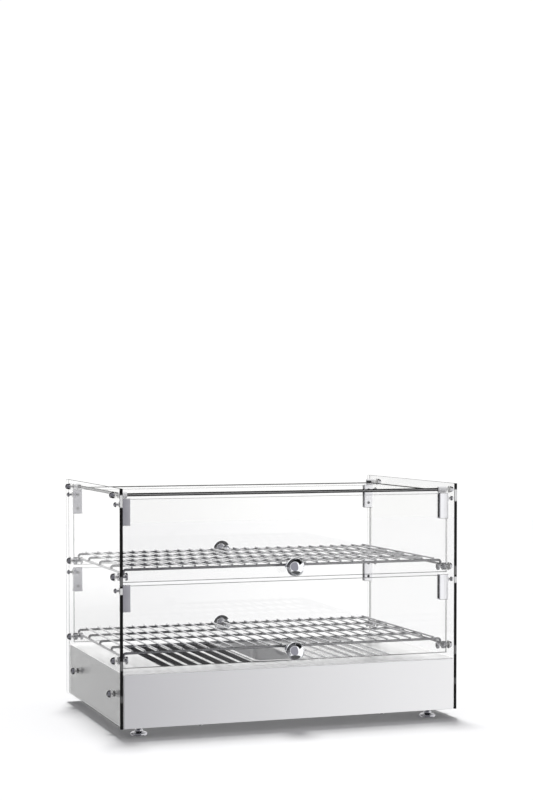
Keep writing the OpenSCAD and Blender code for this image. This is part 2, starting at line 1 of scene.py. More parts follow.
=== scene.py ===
import json
import math

import bpy
from mathutils import Matrix, Vector

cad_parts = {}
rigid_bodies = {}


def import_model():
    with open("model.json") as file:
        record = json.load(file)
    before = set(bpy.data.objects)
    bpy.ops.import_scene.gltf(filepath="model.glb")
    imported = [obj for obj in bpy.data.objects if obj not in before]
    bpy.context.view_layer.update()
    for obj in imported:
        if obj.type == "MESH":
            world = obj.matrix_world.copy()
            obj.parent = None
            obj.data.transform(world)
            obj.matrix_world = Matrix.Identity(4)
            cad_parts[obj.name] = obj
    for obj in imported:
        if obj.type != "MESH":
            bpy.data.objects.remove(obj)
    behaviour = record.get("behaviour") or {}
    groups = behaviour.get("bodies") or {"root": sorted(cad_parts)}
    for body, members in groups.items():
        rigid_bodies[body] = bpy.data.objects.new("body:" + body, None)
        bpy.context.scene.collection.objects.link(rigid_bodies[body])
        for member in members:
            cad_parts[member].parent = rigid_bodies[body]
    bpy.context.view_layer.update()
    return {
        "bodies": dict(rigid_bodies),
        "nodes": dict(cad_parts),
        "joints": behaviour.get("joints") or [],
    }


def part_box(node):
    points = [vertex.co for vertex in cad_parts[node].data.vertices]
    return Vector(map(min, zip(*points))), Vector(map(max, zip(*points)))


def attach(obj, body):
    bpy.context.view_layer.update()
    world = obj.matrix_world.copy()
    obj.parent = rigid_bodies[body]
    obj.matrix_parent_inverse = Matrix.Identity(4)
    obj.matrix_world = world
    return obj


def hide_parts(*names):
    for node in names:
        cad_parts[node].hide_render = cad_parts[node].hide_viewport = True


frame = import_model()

mm = 0.001
fullTurn = 2 * math.pi
hinges = {joint["child"]: Vector(joint["pos_m"]) for joint in frame["joints"] if "pos_m" in joint}
doors = [body for body in frame["bodies"] if body.endswith("_door")]
print("frame loaded:", len(frame["nodes"]), "nodes,", len(doors), "doors")


# modelling helpers

def clearSelection():
    bpy.ops.object.select_all(action="DESELECT")


def makeActive(piece):
    clearSelection()
    piece.select_set(True)
    bpy.context.view_layer.objects.active = piece


def applyPlace(piece):
    makeActive(piece)
    bpy.ops.object.transform_apply(location=True, rotation=True, scale=True)


def named(piece, name):
    piece.name = name
    piece.data.name = name
    return piece


# front_upper_knob becomes frontUpperKnob
def pieceName(node):
    first, *rest = node.split("_")
    return first + "".join(word.title() for word in rest)


def middleOf(node):
    low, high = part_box(node)
    return (low + high) / 2


def close(first, second):
    return abs(first - second) < mm / 10


# a profile whose points are given in millimetres
def inMm(*points):
    return [tuple(value * mm for value in point) for point in points]


# points evenly round a circle
def around(first, second, radius, count):
    for i in range(count):
        angle = fullTurn * i / count
        yield first + radius * math.cos(angle), second + radius * math.sin(angle)


# a block from its lowest corner to its highest
def block(name, low, high):
    low, high = Vector(low), Vector(high)
    clearSelection()
    bpy.ops.mesh.primitive_cube_add(size=1, location=(low + high) / 2, scale=high - low)
    piece = named(bpy.context.object, name)
    applyPlace(piece)
    return piece


# a round bar from one point to another
def bar(name, start, end, radius, sides=32):
    start, end = Vector(start), Vector(end)
    run = end - start
    clearSelection()
    bpy.ops.mesh.primitive_cylinder_add(vertices=sides, radius=radius, depth=run.length,
                                        location=(start + end) / 2,
                                        rotation=run.to_track_quat("Z", "Y").to_euler())
    piece = named(bpy.context.object, name)
    applyPlace(piece)
    return piece


# picks faces, edges or vertices by a test on their middle point and normal, and opens edit mode
def pick(piece, kind, test):
    makeActive(piece)
    bpy.ops.object.mode_set(mode="EDIT")
    bpy.ops.mesh.select_mode(type=kind)
    bpy.ops.mesh.select_all(action="DESELECT")
    bpy.ops.object.mode_set(mode="OBJECT")
    mesh = piece.data
    if kind == "FACE":
        for face in mesh.polygons:
            face.select = bool(test(face.center, face.normal))
    elif kind == "EDGE":
        for edge in mesh.edges:
            ends = [mesh.vertices[i].co for i in edge.vertices]
            edge.select = bool(test((ends[0] + ends[1]) / 2, ends[1] - ends[0]))
    else:
        for vertex in mesh.vertices:
            vertex.select = bool(test(vertex.co, vertex.normal))
    bpy.ops.object.mode_set(mode="EDIT")


def closeEdit():
    bpy.ops.object.mode_set(mode="OBJECT")


def extrude(*offset):
    bpy.ops.mesh.extrude_region_move(TRANSFORM_OT_translate={"value": offset})


def faceOutwards(piece):
    pick(piece, "FACE", lambda middle, normal: True)
    bpy.ops.mesh.normals_make_consistent(inside=False)
    closeEdit()


def addModifier(piece, kind, **settings):
    makeActive(piece)
    modifier = piece.modifiers.new(kind.title(), kind)
    for key, value in settings.items():
        setattr(modifier, key, value)
    bpy.ops.object.modifier_apply(modifier=modifier.name)
    return piece


def roundEdges(piece, width, segments=2, angle=35):
    return addModifier(piece, "BEVEL", width=width, segments=segments, limit_method="ANGLE",
                       angle_limit=math.radians(angle), use_clamp_overlap=True)


def repeated(piece, count, step):
    return addModifier(piece, "ARRAY", count=count, use_relative_offset=False,
                       use_constant_offset=True, constant_offset_displace=step)


def join(name, pieces):
    clearSelection()
    for piece in pieces:
        piece.select_set(True)
    bpy.context.view_layer.objects.active = pieces[0]
    if len(pieces) > 1:
        bpy.ops.object.join()
    return named(pieces[0], name)


def cutAway(piece, tools):
    tool = join("tool", tools)
    addModifier(piece, "BOOLEAN", operation="DIFFERENCE", solver="EXACT", object=tool)
    bpy.data.objects.remove(tool)
    return piece


def copyOf(piece, name, matrix):
    twin = piece.copy()
    twin.data = piece.data.copy()
    bpy.context.scene.collection.objects.link(twin)
    twin.data.transform(matrix)
    if matrix.determinant() < 0:
        twin.data.flip_normals()
    return named(twin, name)


def moved(*offset):
    return Matrix.Translation(Vector(offset))


mirrorX = Matrix.Diagonal((-1, 1, 1, 1))
mirrorY = Matrix.Diagonal((1, -1, 1, 1))


# the piece and its mirror images, joined: at all four corners, or on both sides
def repeatAcross(name, piece, mirrors=(mirrorX, mirrorY)):
    pieces = [piece]
    for mirror in mirrors:
        pieces += [copyOf(one, "copy", mirror) for one in list(pieces)]
    return join(name, pieces)


def smooth(piece, angle=35):
    makeActive(piece)
    bpy.ops.object.shade_smooth_by_angle(angle=math.radians(angle))
    return piece


# turns corners of a profile into arcs: points are (radius, height) or (radius, height, corner)
def softProfile(points, steps=4):
    soft = []
    for i, point in enumerate(points):
        here = Vector(point[:2])
        corner = point[2] if len(point) > 2 else 0
        if not corner or i in (0, len(points) - 1):
            soft.append(here)
            continue
        back = (Vector(points[i - 1][:2]) - here).normalized()
        on = (Vector(points[i + 1][:2]) - here).normalized()
        half = back.angle(on) / 2
        middle = here + (back + on).normalized() * corner / math.sin(half)
        first = here + back * corner / math.tan(half) - middle
        last = here + on * corner / math.tan(half) - middle
        sweep = first.angle_signed(last)
        for step in range(steps + 1):
            turn = Matrix.Rotation(-sweep * step / steps, 2)
            soft.append(middle + turn @ first)
    return soft


def spunProfile(profile, steps):
    clearSelection()
    bpy.ops.mesh.primitive_plane_add(size=mm)
    piece = bpy.context.object
    bpy.ops.object.mode_set(mode="EDIT")
    bpy.ops.mesh.select_mode(type="VERT")
    bpy.ops.mesh.select_all(action="SELECT")
    bpy.ops.mesh.merge(type="CENTER")
    here = Vector((0, 0, 0))
    for i, (radius, height) in enumerate(profile):
        there = Vector((radius, 0, height))
        if i == 0:
            bpy.ops.transform.translate(value=there - here)
        else:
            bpy.ops.mesh.extrude_vertices_move(TRANSFORM_OT_translate={"value": there - here})
        here = there
    bpy.ops.mesh.select_all(action="SELECT")
    bpy.ops.mesh.spin(steps=steps, angle=fullTurn, center=(0, 0, 0), axis=(0, 0, 1))
    bpy.ops.mesh.select_all(action="SELECT")
    bpy.ops.mesh.remove_doubles(threshold=mm / 1000)
    bpy.ops.mesh.normals_make_consistent(inside=False)
    bpy.ops.object.mode_set(mode="OBJECT")
    return piece


# a turned piece: the profile's heights run along the axis from base
def turned(name, profile, base, axis, steps=40):
    piece = spunProfile(softProfile(profile), steps)
    facing = Vector(axis).to_track_quat("Z", "Y").to_matrix().to_4x4()
    piece.data.transform(Matrix.Translation(Vector(base)) @ facing)
    return smooth(named(piece, name))


# shader helpers

class Signal:
    def __init__(self, tree, socket):
        self.tree = tree
        self.socket = socket

    def maths(self, operation, first, second):
        node = self.tree.nodes.new("ShaderNodeMath")
        node.operation = operation
        plug(self.tree, node.inputs[0], first)
        plug(self.tree, node.inputs[1], second)
        return Signal(self.tree, node.outputs[0])

    def __add__(self, other):
        return self.maths("ADD", self, other)

    def __radd__(self, other):
        return self.maths("ADD", other, self)

    def __sub__(self, other):
        return self.maths("SUBTRACT", self, other)

    def __rsub__(self, other):
        return self.maths("SUBTRACT", other, self)

    def __mul__(self, other):
        return self.maths("MULTIPLY", self, other)

    def __rmul__(self, other):
        return self.maths("MULTIPLY", other, self)

    def __pow__(self, other):
        return self.maths("POWER", self, other)

    def __gt__(self, other):
        return self.maths("GREATER_THAN", self, other)

    def __lt__(self, other):
        return self.maths("LESS_THAN", self, other)


def plug(tree, socket, value):
    if isinstance(value, Signal):
        tree.links.new(value.socket, socket)
    else:
        socket.default_value = value


class Shader:
    def __init__(self, owner):
        owner.use_nodes = True
        self.tree = owner.node_tree
        self.tree.nodes.clear()

    # any node: its type, its settings, then the values or links of its sockets
    def node(self, kind, settings=None, inputs=None, output=0):
        node = self.tree.nodes.new("ShaderNode" + kind)
        for key, value in (settings or {}).items():
            setattr(node, key, value)
        for key, value in (inputs or {}).items():
            plug(self.tree, node.inputs[key], value)
        return Signal(self.tree, node.outputs[output]) if node.outputs else node

    def parts(self, vector):
        return [self.node("SeparateXYZ", inputs={"Vector": vector}, output=i) for i in range(3)]

    # grain is one number for a pattern, or one for each axis
    def noise(self, place, grain, detail=3.0, roughness=0.5):
        stretch = (grain,) * 3 if isinstance(grain, int) else grain
        spread = self.node("Mapping", inputs={"Vector": place, "Scale": stretch})
        return self.node("TexNoise", inputs={"Vector": spread, "Scale": 1.0, "Detail": detail,
                                             "Roughness": roughness})

    # a smooth step of value from 0 at low to 1 at high
    def ramp(self, value, low, high):
        return self.node("MapRange", {"interpolation_type": "SMOOTHSTEP"},
                         {"Value": value, "From Min": low, "From Max": high})

    def blendColour(self, factor, first, second):
        return self.node("Mix", {"data_type": "RGBA"},
                         {"Factor": factor, "A": first, "B": second}, output="Result")

    # the colour, darkened to a share where the pattern is low
    def clouded(self, pattern, colour, share):
        return self.blendColour(pattern, rgba(*(c * share for c in colour)), rgba(*colour))

    def absolute(self, value):
        return self.node("Math", {"operation": "ABSOLUTE"}, {0: value})

    def bump(self, height, strength, distance):
        return self.node("Bump", inputs={"Height": height, "Strength": strength,
                                         "Distance": distance})

    def mixShader(self, factor, first, second):
        return self.node("MixShader", inputs={0: factor, 1: first, 2: second})

    def finish(self, surface, kind="OutputMaterial"):
        self.node(kind, inputs={"Surface": surface})

    def finishPrincipled(self, inputs):
        self.finish(self.node("BsdfPrincipled", inputs=inputs))


# a new material with its shader and its object coordinates
def newMaterial(name):
    material = bpy.data.materials.new(name)
    shader = Shader(material)
    return material, shader, shader.node("TexCoord", output="Object")


def rgba(red, green, blue):
    return (red, green, blue, 1)


def grey(value):
    return rgba(value, value, value)


# materials

# rolled sheet with a fine grain along one axis, and slow clouding from handling
def brushedSteel(name, colour, along, rough):
    material, s, place = newMaterial(name)
    grain = [2400, 2400, 2400]
    grain["xyz".index(along)] = 9
    streaks = s.noise(place, grain, detail=2)
    cloud = s.noise(place, 7, detail=4)
    s.finishPrincipled({
        "Base Color": s.clouded(cloud, colour, 0.93), "Metallic": 1.0,
        "Roughness": rough - 0.03 + streaks * 0.04 + cloud * 0.03,
        "Normal": s.bump(streaks, 0.15, 0.003 * mm)})
    return material


# bright metal: chrome plate or polished sheet, with faint smears
def brightMetal(name, colour, rough, smear=0.05):
    material, s, place = newMaterial(name)
    smears = s.noise(place, 60, detail=5, roughness=0.65)
    fine = s.noise(place, 900, detail=2)
    s.finishPrincipled({
        "Base Color": s.clouded(smears, colour, 0.95), "Metallic": 1.0,
        "Roughness": rough + s.ramp(smears, 0.45, 0.75) * smear + fine * 0.02})
    return material


# bead-blasted grain under a soft sheen
def satinSteel(name, colour, rough, metal=1.0):
    material, s, place = newMaterial(name)
    grain = s.noise(place, 3000, detail=2)
    cloud = s.noise(place, 90)
    s.finishPrincipled({
        "Base Color": s.clouded(cloud, colour, 0.9), "Metallic": metal,
        "Roughness": rough + grain * 0.06 + cloud * 0.05,
        "Normal": s.bump(grain, 0.25, 0.01 * mm)})
    return material


# moulded plastic or rubber with a fine spark texture
def moulded(name, colour, rough, depth=0.02):
    material, s, place = newMaterial(name)
    grain = s.noise(place, 1500)
    cloud = s.noise(place, 40, detail=2)
    s.finishPrincipled({
        "Base Color": s.clouded(cloud, colour, 0.85),
        "Roughness": rough + cloud * 0.08,
        "Normal": s.bump(grain, 0.4, depth * mm)})
    return material


# steel that has blued and browned from heat, for the heaters; the dark left pan uses it too, and there the
# darkness is painted shade
def heatStainAndShadeSteel(name, colour, tint):
    material, s, place = newMaterial(name)
    stain = s.noise(place, 14, detail=5, roughness=0.6)
    s.finishPrincipled({
        "Base Color": s.blendColour(s.ramp(stain, 0.35, 0.7), rgba(*colour), rgba(*tint)),
        "Metallic": 0.7, "Roughness": 0.38 + stain * 0.2,
        "Normal": s.bump(s.noise(place, 700), 0.4, 0.03 * mm)})
    return material


def lampLens(name, colour):
    material, s, place = newMaterial(name)
    facets = s.noise(place, 500, detail=1)
    s.finishPrincipled({
        "Base Color": s.clouded(facets, colour, 0.7),
        "Roughness": 0.12 + facets * 0.08, "Coat Weight": 0.6,
        "Normal": s.bump(facets, 0.3, 0.05 * mm)})
    return material


paneLook = {
    "tint": (0.992, 0.992, 0.990),   # through the faces
    "haze": 0.012,                   # dust and wiping marks
    "gloss": 0.04,                   # mirrored head on
    "face": 0.85,                    # square of the normal across the pane, from here on a face
    "arris": 0.15,                   # and down to here an edge, with the ground corners between
    "rim": 0.8 * mm,
    "rimClear": 0.9,                 # walls of the bolt holes
    # colour of the painted glints in the glass edges
    "glint": (0.95, 0.95, 0.95),
}


# clear float glass: the faces let light straight through, the ground edges get a painted colour that stands
# for the shade and light seen in a glass edge, with painted glints
def paneGlass(name, thinAxis, paintedEdgeColour, paintedArrisColour, paintedGlintBands=(), farEdge=0.0, outline=None,
              mostGloss=0.8, clearAbove=None):
    material, s, place = newMaterial(name)
    # the object's own normal, so that an opened door stays clear
    normal = s.node("VectorTransform", {"vector_type": "NORMAL", "convert_from": "WORLD",
                                        "convert_to": "OBJECT"},
                    {"Vector": s.node("NewGeometry", output="True Normal")})
    across = s.parts(normal)["xyz".index(thinAxis)]
    across = across * across
    edge = across < paneLook["face"]
    arris = across > paneLook["arris"]
    inside = s.node("NewGeometry", output="Backfacing")
    facing = s.node("LayerWeight", inputs={"Blend": 0.5}, output="Facing")
    marks = s.ramp(s.noise(place, 30, detail=6, roughness=0.7), 0.55, 0.8)
    mirror = paneLook["gloss"] + (mostGloss - paneLook["gloss"]) * facing ** 5
    through = s.node("BsdfTransparent", inputs={"Color": rgba(*paneLook["tint"])})
    shine = s.node("BsdfAnisotropic", {"distribution": "GGX"}, {"Color": grey(1), "Roughness": 0.02})
    wipe = s.node("BsdfDiffuse", inputs={"Color": rgba(0.9, 0.92, 0.92)})
    face = s.mixShader(mirror, through, shine)
    face = s.mixShader(marks * paneLook["haze"], face, wipe)
    colour = rgba(*paintedEdgeColour)
    y, z = s.parts(place)[1:]
    for middle, reach, strength in paintedGlintBands:   # painted glints: white bands in the edge colour where fittings would show
        near = s.ramp(s.absolute(z - middle), reach, reach * 0.75)
        colour = s.blendColour(near * strength, colour, rgba(*paneLook["glint"]))
    grind = s.noise(place, 900, detail=2)
    clear = inside * (1 - arris) * (1 - farEdge)
    if outline:   # only the outer edges are dark, the walls of the bolt holes are clear
        low, high = outline
        middle, reach = (low + high) / 2, (high - low) / 2
        outerY = y * y > (reach.y - paneLook["rim"]) ** 2
        outerZ = s.absolute(z - middle.z) > reach.z - paneLook["rim"]
        clear = clear + (outerY + outerZ < 0.5) * paneLook["rimClear"]
    if clearAbove:   # the far top edge vanishes, only the far bottom one shows
        clear = clear + inside * arris * (z > clearAbove)
    rim = s.node("BsdfPrincipled", inputs={
        "Base Color": s.blendColour(arris, colour, rgba(*paintedArrisColour)),
        "Roughness": 0.25 + grind * 0.15 + arris * 0.2, "Specular IOR Level": 0.15,
        "Normal": s.bump(grind, 0.2, 0.02 * mm)})
    s.finish(s.mixShader(edge, face, s.mixShader(clear, rim, through)))
    return material


finishes = {
    # frontSteel, rearSteel and sideSteel are one sheet steel: the side walls are painted darker than the
    # front panel as painted shade, and the rear panel is darker too
    "frontSteel": brushedSteel("frontSteel", (0.83, 0.83, 0.835), "x", rough=0.31),
    "rearSteel": brushedSteel("rearSteel", (0.60, 0.60, 0.605), "x", rough=0.31),
    "sideSteel": brushedSteel("sideSteel", (0.58, 0.58, 0.59), "y", rough=0.24),
    "deckSteel": satinSteel("deckSteel", (0.95, 0.95, 0.955), rough=0.16, metal=0.55),
    "traySteel": satinSteel("traySteel", (0.92, 0.92, 0.925), rough=0.2, metal=0.55),
    # paleSteel: a pale non-metal steel for parts made to show bright, painted light
    "paleSteel": satinSteel("paleSteel", (0.95, 0.95, 0.955), rough=0.4, metal=0.0),
    # near black steel for the left slot lips: painted shade
    "bluedSteel": satinSteel("bluedSteel", (0.05, 0.05, 0.053), rough=0.3),
    "chrome": brightMetal("chrome", (0.84, 0.85, 0.88), rough=0.03, smear=0.04),
    # wireChrome and rodChrome are one chrome wire, darker than the knob chrome, and the long rods darker
    # still: painted shade
    "wireChrome": brightMetal("wireChrome", (0.42, 0.42, 0.435), rough=0.05),
    "rodChrome": brightMetal("rodChrome", (0.17, 0.17, 0.18), rough=0.07),
    # screwChrome is the chrome painted darker for the screws, pins and feet: painted shade
    "screwChrome": brightMetal("screwChrome", (0.42, 0.42, 0.44), rough=0.05),
    "darkScrew": brightMetal("darkScrew", (0.10, 0.10, 0.105), rough=0.2),
    "satin": satinSteel("satin", (0.70, 0.70, 0.72), rough=0.07),
    "black": moulded("black", (0.018, 0.018, 0.02), rough=0.32),
    "ink": moulded("ink", (0.03, 0.03, 0.032), rough=0.5),
    "rubber": moulded("rubber", (0.025, 0.025, 0.025), rough=0.6),
    "nylon": moulded("nylon", (0.9, 0.9, 0.89), rough=0.35, depth=0.008),
    "sheath": moulded("sheath", (0.42, 0.06, 0.05), rough=0.45),
    "copper": brightMetal("copper", (0.72, 0.42, 0.27), rough=0.22),
    "heater": heatStainAndShadeSteel("heater", (0.10, 0.095, 0.09), (0.20, 0.13, 0.10)),
    # the left pan made dark: painted shade
    "darkPan": heatStainAndShadeSteel("darkPan", (0.05, 0.05, 0.052), (0.09, 0.08, 0.08)),
    "lens": lampLens("lens", (0.95, 0.33, 0.04)),
}
print("materials ready:", len(finishes))


# finishes a piece: weighted normals, its material, its body, the nodes it stands for
def dress(piece, finish, body, replaces=()):
    addModifier(piece, "WEIGHTED_NORMAL", weight=60, keep_sharp=True)
    piece.data.materials.clear()
    piece.data.materials.append(finishes[finish] if isinstance(finish, str) else finish)
    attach(piece, body)
    if replaces:
        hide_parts(*replaces)
    return piece


# places taken from the frame

pinRadius = 6 * mm
fittingRadius = 5 * mm
spacerRadius = 8 * mm
sideLow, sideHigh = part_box("side_glass_right")
pinLow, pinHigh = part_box("shelf_pins")
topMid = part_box("top_fittings")[1] - Vector((0, fittingRadius, fittingRadius))
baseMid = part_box("side_spacers")[1] - Vector((0, spacerRadius, spacerRadius))
pinY = pinHigh.y - pinRadius
pinHeights = [pinHigh.z - pinRadius, pinLow.z + pinRadius]
rearPivots = [hinges[door] for door in doors if hinges[door].y > 0]


# a part of a door: its node, its box, which way is out of the case, and the y of its inner side
def doorPart(door, part):
    node = door.replace("_door", "_" + part)
    low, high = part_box(node)
    outward = -1 if high.y < 0 else 1
    return node, low, high, outward, high.y if outward < 0 else low.y


# camera, light and floor

view = {
    "place": (-0.926, -2.700, 0.499),
    "turn": 19.27,        # degrees to the right of straight ahead
    "dip": 1.69,          # degrees below level
    "lens": 78.4,
    "rise": 0.0719,       # keeps the case low in the frame
}
studio = {
    "sun": 2.70,
    "sunSize": 11,        # degrees, for a soft shadow
    "sunHeight": 75,
    "sunSide": 12,        # degrees to the right of straight behind
    "ambient": 0.32,
    "backdrop": 1.04,     # as the camera sees it
    "white": 1.4,         # big white screens, as shiny metal sees them
    "softGrey": (0.345, 0.34, 0.375),
    "greySide": (-0.42, -0.88, 0.22),   # middle of the soft grey screen
    "shadeSide": (-0.52, 0.19, 0.83),   # the dark patch lies up and to the left
    "black": 0.008,
    "lowGrey": 0.38,      # under the black flag on the left
    "sideGrey": 0.62,     # what the left wall mirrors
    "table": 0.11,
    "floor": (0.905, 0.905, 0.91),
    "floorSize": 9.0,
}
# where each screen starts and is full: turns in degrees, heights and rims from -1 to 1
screens = {
    "greyTurn": (23, 14),
    "greyRim": (0.48, 0.52),
    "shadeBack": (0.9, 0.82),
    "shadeRim": (0.46, 0.42),
    "shadeUp": (-0.15, -0.05),
    "flagRight": (-17.6, -19.6),
    "flagLeft": (-50, -44),
    "flagTop": (0.62, 0.5),
    "flagFoot": (-0.02, -0.09),
    "wallRight": (-9, -11),
    "wallLeft": (-19, -17),
    "wallTop": (-0.09, -0.125),
    "table": (-0.68, -0.74),
}


def addCamera():
    clearSelection()
    bpy.ops.object.camera_add(location=view["place"],
                              rotation=(math.radians(90 - view["dip"]), 0, math.radians(-view["turn"])))
    camera = bpy.context.object
    camera.data.lens = view["lens"]
    camera.data.sensor_width = 36
    camera.data.shift_y = view["rise"]
    camera.data.dof.use_dof = False
    bpy.context.scene.camera = camera


# what shiny metal sees: white screens, soft grey round the camera, black flags, a dark table below
def addStudio():
    world = bpy.data.worlds.new("studio")
    bpy.context.scene.world = world
    s = Shader(world)
    direction = s.node("TexCoord", output="Generated")
    x, y, z = s.parts(direction)

    def fade(value, screen):
        return s.ramp(value, *screens[screen])

    def turnFade(value, screen):
        return s.ramp(value, *(math.radians(turn) for turn in screens[screen]))

    toFront = s.node("Math", {"operation": "ARCTAN2"}, {0: x, 1: y * -1})
    toBack = s.node("Math", {"operation": "ARCTAN2"}, {0: x, 1: y})
    fromCamera = s.node("VectorMath", {"operation": "DOT_PRODUCT"},
                        {0: direction, 1: studio["greySide"]}, output="Value")
    right, back, up = studio["shadeSide"]
    upLeft = x * right + y * back + z * up
    greyScreen = turnFade(toFront, "greyTurn") * fade(fromCamera, "greyRim")
    shade = fade(y, "shadeBack") * fade(fromCamera, "shadeRim") * fade(upLeft, "shadeUp")
    flag = turnFade(toBack, "flagRight") * turnFade(toBack, "flagLeft") * fade(z, "flagTop")
    besideWall = turnFade(toBack, "wallRight") * turnFade(toBack, "wallLeft") * fade(z, "wallTop")
    light = s.blendColour(greyScreen, grey(studio["white"]), rgba(*studio["softGrey"]))
    light = s.blendColour(besideWall, light, grey(studio["sideGrey"]))
    flagColour = s.blendColour(fade(z, "flagFoot"), grey(studio["black"]), grey(studio["lowGrey"]))
    light = s.blendColour(1 - (1 - shade) * (1 - flag), light, flagColour)
    light = s.blendColour(fade(z, "table"), light, grey(studio["table"]))
    ambient = studio["ambient"]
    light = s.blendColour(s.node("LightPath", output="Is Diffuse Ray"), light,
                          rgba(ambient, ambient, ambient * 1.02))
    light = s.blendColour(s.node("LightPath", output="Is Camera Ray"), light, grey(studio["backdrop"]))
    s.finish(s.node("Background", inputs={"Color": light, "Strength": 1.0}), "OutputWorld")
    clearSelection()
    bpy.ops.object.light_add(type="SUN", rotation=(math.radians(90 - studio["sunHeight"]), 0,
                                                   math.radians(180 - studio["sunSide"])))
    bpy.context.object.visible_glossy = False
    sun = bpy.context.object.data
    sun.energy = studio["sun"]
    sun.angle = math.radians(studio["sunSize"])


def addFloor():
    clearSelection()
    bpy.ops.mesh.primitive_plane_add(size=studio["floorSize"])
    floor = named(bpy.context.object, "floor")
    material, s, place = newMaterial("floorPaper")
    s.finishPrincipled({"Base Color": s.clouded(s.noise(place, 6), studio["floor"], 0.985),
                        "Roughness": 0.9, "Specular IOR Level": 0.1})
    floor.data.materials.append(material)
    floor.visible_glossy = False


addCamera()
addStudio()
addFloor()
bpy.context.scene.view_settings.view_transform = "Standard"
print("camera, light and floor ready")


# glass

glassSizes = {
    "arris": 0.5 * mm,        # ground corner of every edge
    "topArris": 1.6 * mm,
    "boltHole": 5.4 * mm,
    "knobHole": 5.0 * mm,
    "notchWide": 11.5 * mm,
    "notchDrop": 9.0 * mm,    # below the pivot
}
paintedGlints = {   # painted glints in the front edge, where fittings would be mirrored: rise and reach in millimetres, and strength
    "pin": (-4, 8, 0.18),
    "top": (-8, 10.5, 0.95),
    "base": (0, 6, 0.1),
    "hinge": (1, 5.5, 0.9),
}


def glint(kind, z):
    rise, reach, strength = paintedGlints[kind]
    return z + rise * mm, reach * mm, strength


def drilledPane():
    pane = block("pane", sideLow, sideHigh)
    spots = [(pinY, z) for z in pinHeights] + [(topMid.y, topMid.z), (baseMid.y, baseMid.z)]
    spots += [(p.y, p.z) for p in rearPivots]
    holes = [bar("hole", (sideLow.x - mm, end * y, z), (sideHigh.x + mm, end * y, z),
                 glassSizes["boltHole"] / 2, sides=24)
             for y, z in spots for end in (-1, 1)]
    cutAway(pane, holes)
    roundEdges(pane, glassSizes["arris"], segments=1)
    return smooth(pane, 20)


def makeSideGlasses():
    # painted glints in the side glass edges, at the pins, the bolts and the lower hinges
    paintedGlintBands = [glint("pin", z) for z in pinHeights]
    paintedGlintBands += [glint("top", topMid.z), glint("base", baseMid.z)]
    paintedGlintBands += [glint("hinge", p.z) for p in rearPivots if p.z < topMid.z - 60 * mm]   # the lower doors
    # the side glass edges are painted near black: painted shade
    material = paneGlass("sideGlass", "x", (0.003, 0.003, 0.003), (0.006, 0.006, 0.006), paintedGlintBands,
                         outline=(sideLow, sideHigh), mostGloss=0.3)
    pane = drilledPane()
    for side, place in (("left", mirrorX), ("right", moved(0, 0, 0))):
        glass = copyOf(pane, "sideGlass" + side.title(), place)
        dress(glass, material, "case", ["side_glass_" + side])
    bpy.data.objects.remove(pane)


def makeTopGlass():
    low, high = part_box("top_glass")
    pane = roundEdges(block("topGlass", low, high), glassSizes["topArris"], segments=1)
    # the top glass edge is painted grey and its ground corners near black: painted light and shade
    material = paneGlass("topGlass", "z", (0.32, 0.32, 0.32), (0.004, 0.004, 0.004), mostGloss=0.05,
                         clearAbove=(low.z + high.z) / 2)
    dress(smooth(pane, 20), material, "case", ["top_glass"])


def makeDoorGlass(door):
    node, low, high = doorPart(door, "glass")[:3]
    knobZ = middleOf(door.replace("_door", "_knob_screw")).z
    pane = block(pieceName(door) + "Glass", low, high)
    tools = [bar("hole", (0, low.y - mm, knobZ), (0, high.y + mm, knobZ),
                 glassSizes["knobHole"] / 2, sides=24)]
    for side in (-1, 1):
        near = side * (high.x - glassSizes["notchWide"])
        far = side * (high.x + mm)
        tools.append(block("notch",
                           (min(near, far), low.y - mm, hinges[door].z - glassSizes["notchDrop"]),
                           (max(near, far), high.y + mm, high.z + mm)))
    cutAway(pane, tools)
    roundEdges(pane, glassSizes["arris"], segments=1)
    dress(smooth(pane, 20), doorGlassLook, door, [node])


# the door glass edges are painted grey, lighter than the side glass edges: painted light
doorGlassLook = paneGlass("doorGlass", "y", (0.35, 0.36, 0.36), (0.22, 0.22, 0.22), farEdge=0.35)
makeSideGlasses()
makeTopGlass()
for door in doors:
    makeDoorGlass(door)
print("glass made")


# steel base

baseSizes = {
    "sheet": 1.2 * mm,
    "fold": 12 * mm,
    "bend": 1.6 * mm,
    "rearHoles": {"thermostat_body": 4 * mm, "pilot_lamp": 4 * mm, "cable_gland": 8 * mm},
    "through": 4 * mm,        # a cutting tool goes this far past the sheet
    "switchRim": 2 * mm,
    "wallHole": 2.7 * mm,
    "wallEdge": 0.4 * mm,
}
deckSizes = {
    "slots": 7,
    "start": 54 * mm,         # from the middle of the case to the first slot
    "pitch": 22 * mm,
    "wide": 16 * mm,
    "long": 236 * mm,
    "edge": 0.55 * mm,
    "trayHole": 5.5 * mm,     # in from the rim of the tray
    "lip": 5 * mm,
    "lipSheet": 0.9 * mm,
    "lipSpare": 0.2 * mm,
    "lipTop": 0.5 * mm,       # below the face of the deck
    "shallow": 2 * mm,        # from the deck down to the pale painted-light sheet on the right
    "spareX": 2 * mm,         # how far the pale painted-light sheet goes past the slots
    "spareY": 3 * mm,
}
deckLow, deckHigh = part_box("deck_plate")
slotPlaces = [side * (deckSizes["start"] + i * deckSizes["pitch"])
              for side in (-1, 1) for i in range(deckSizes["slots"])]


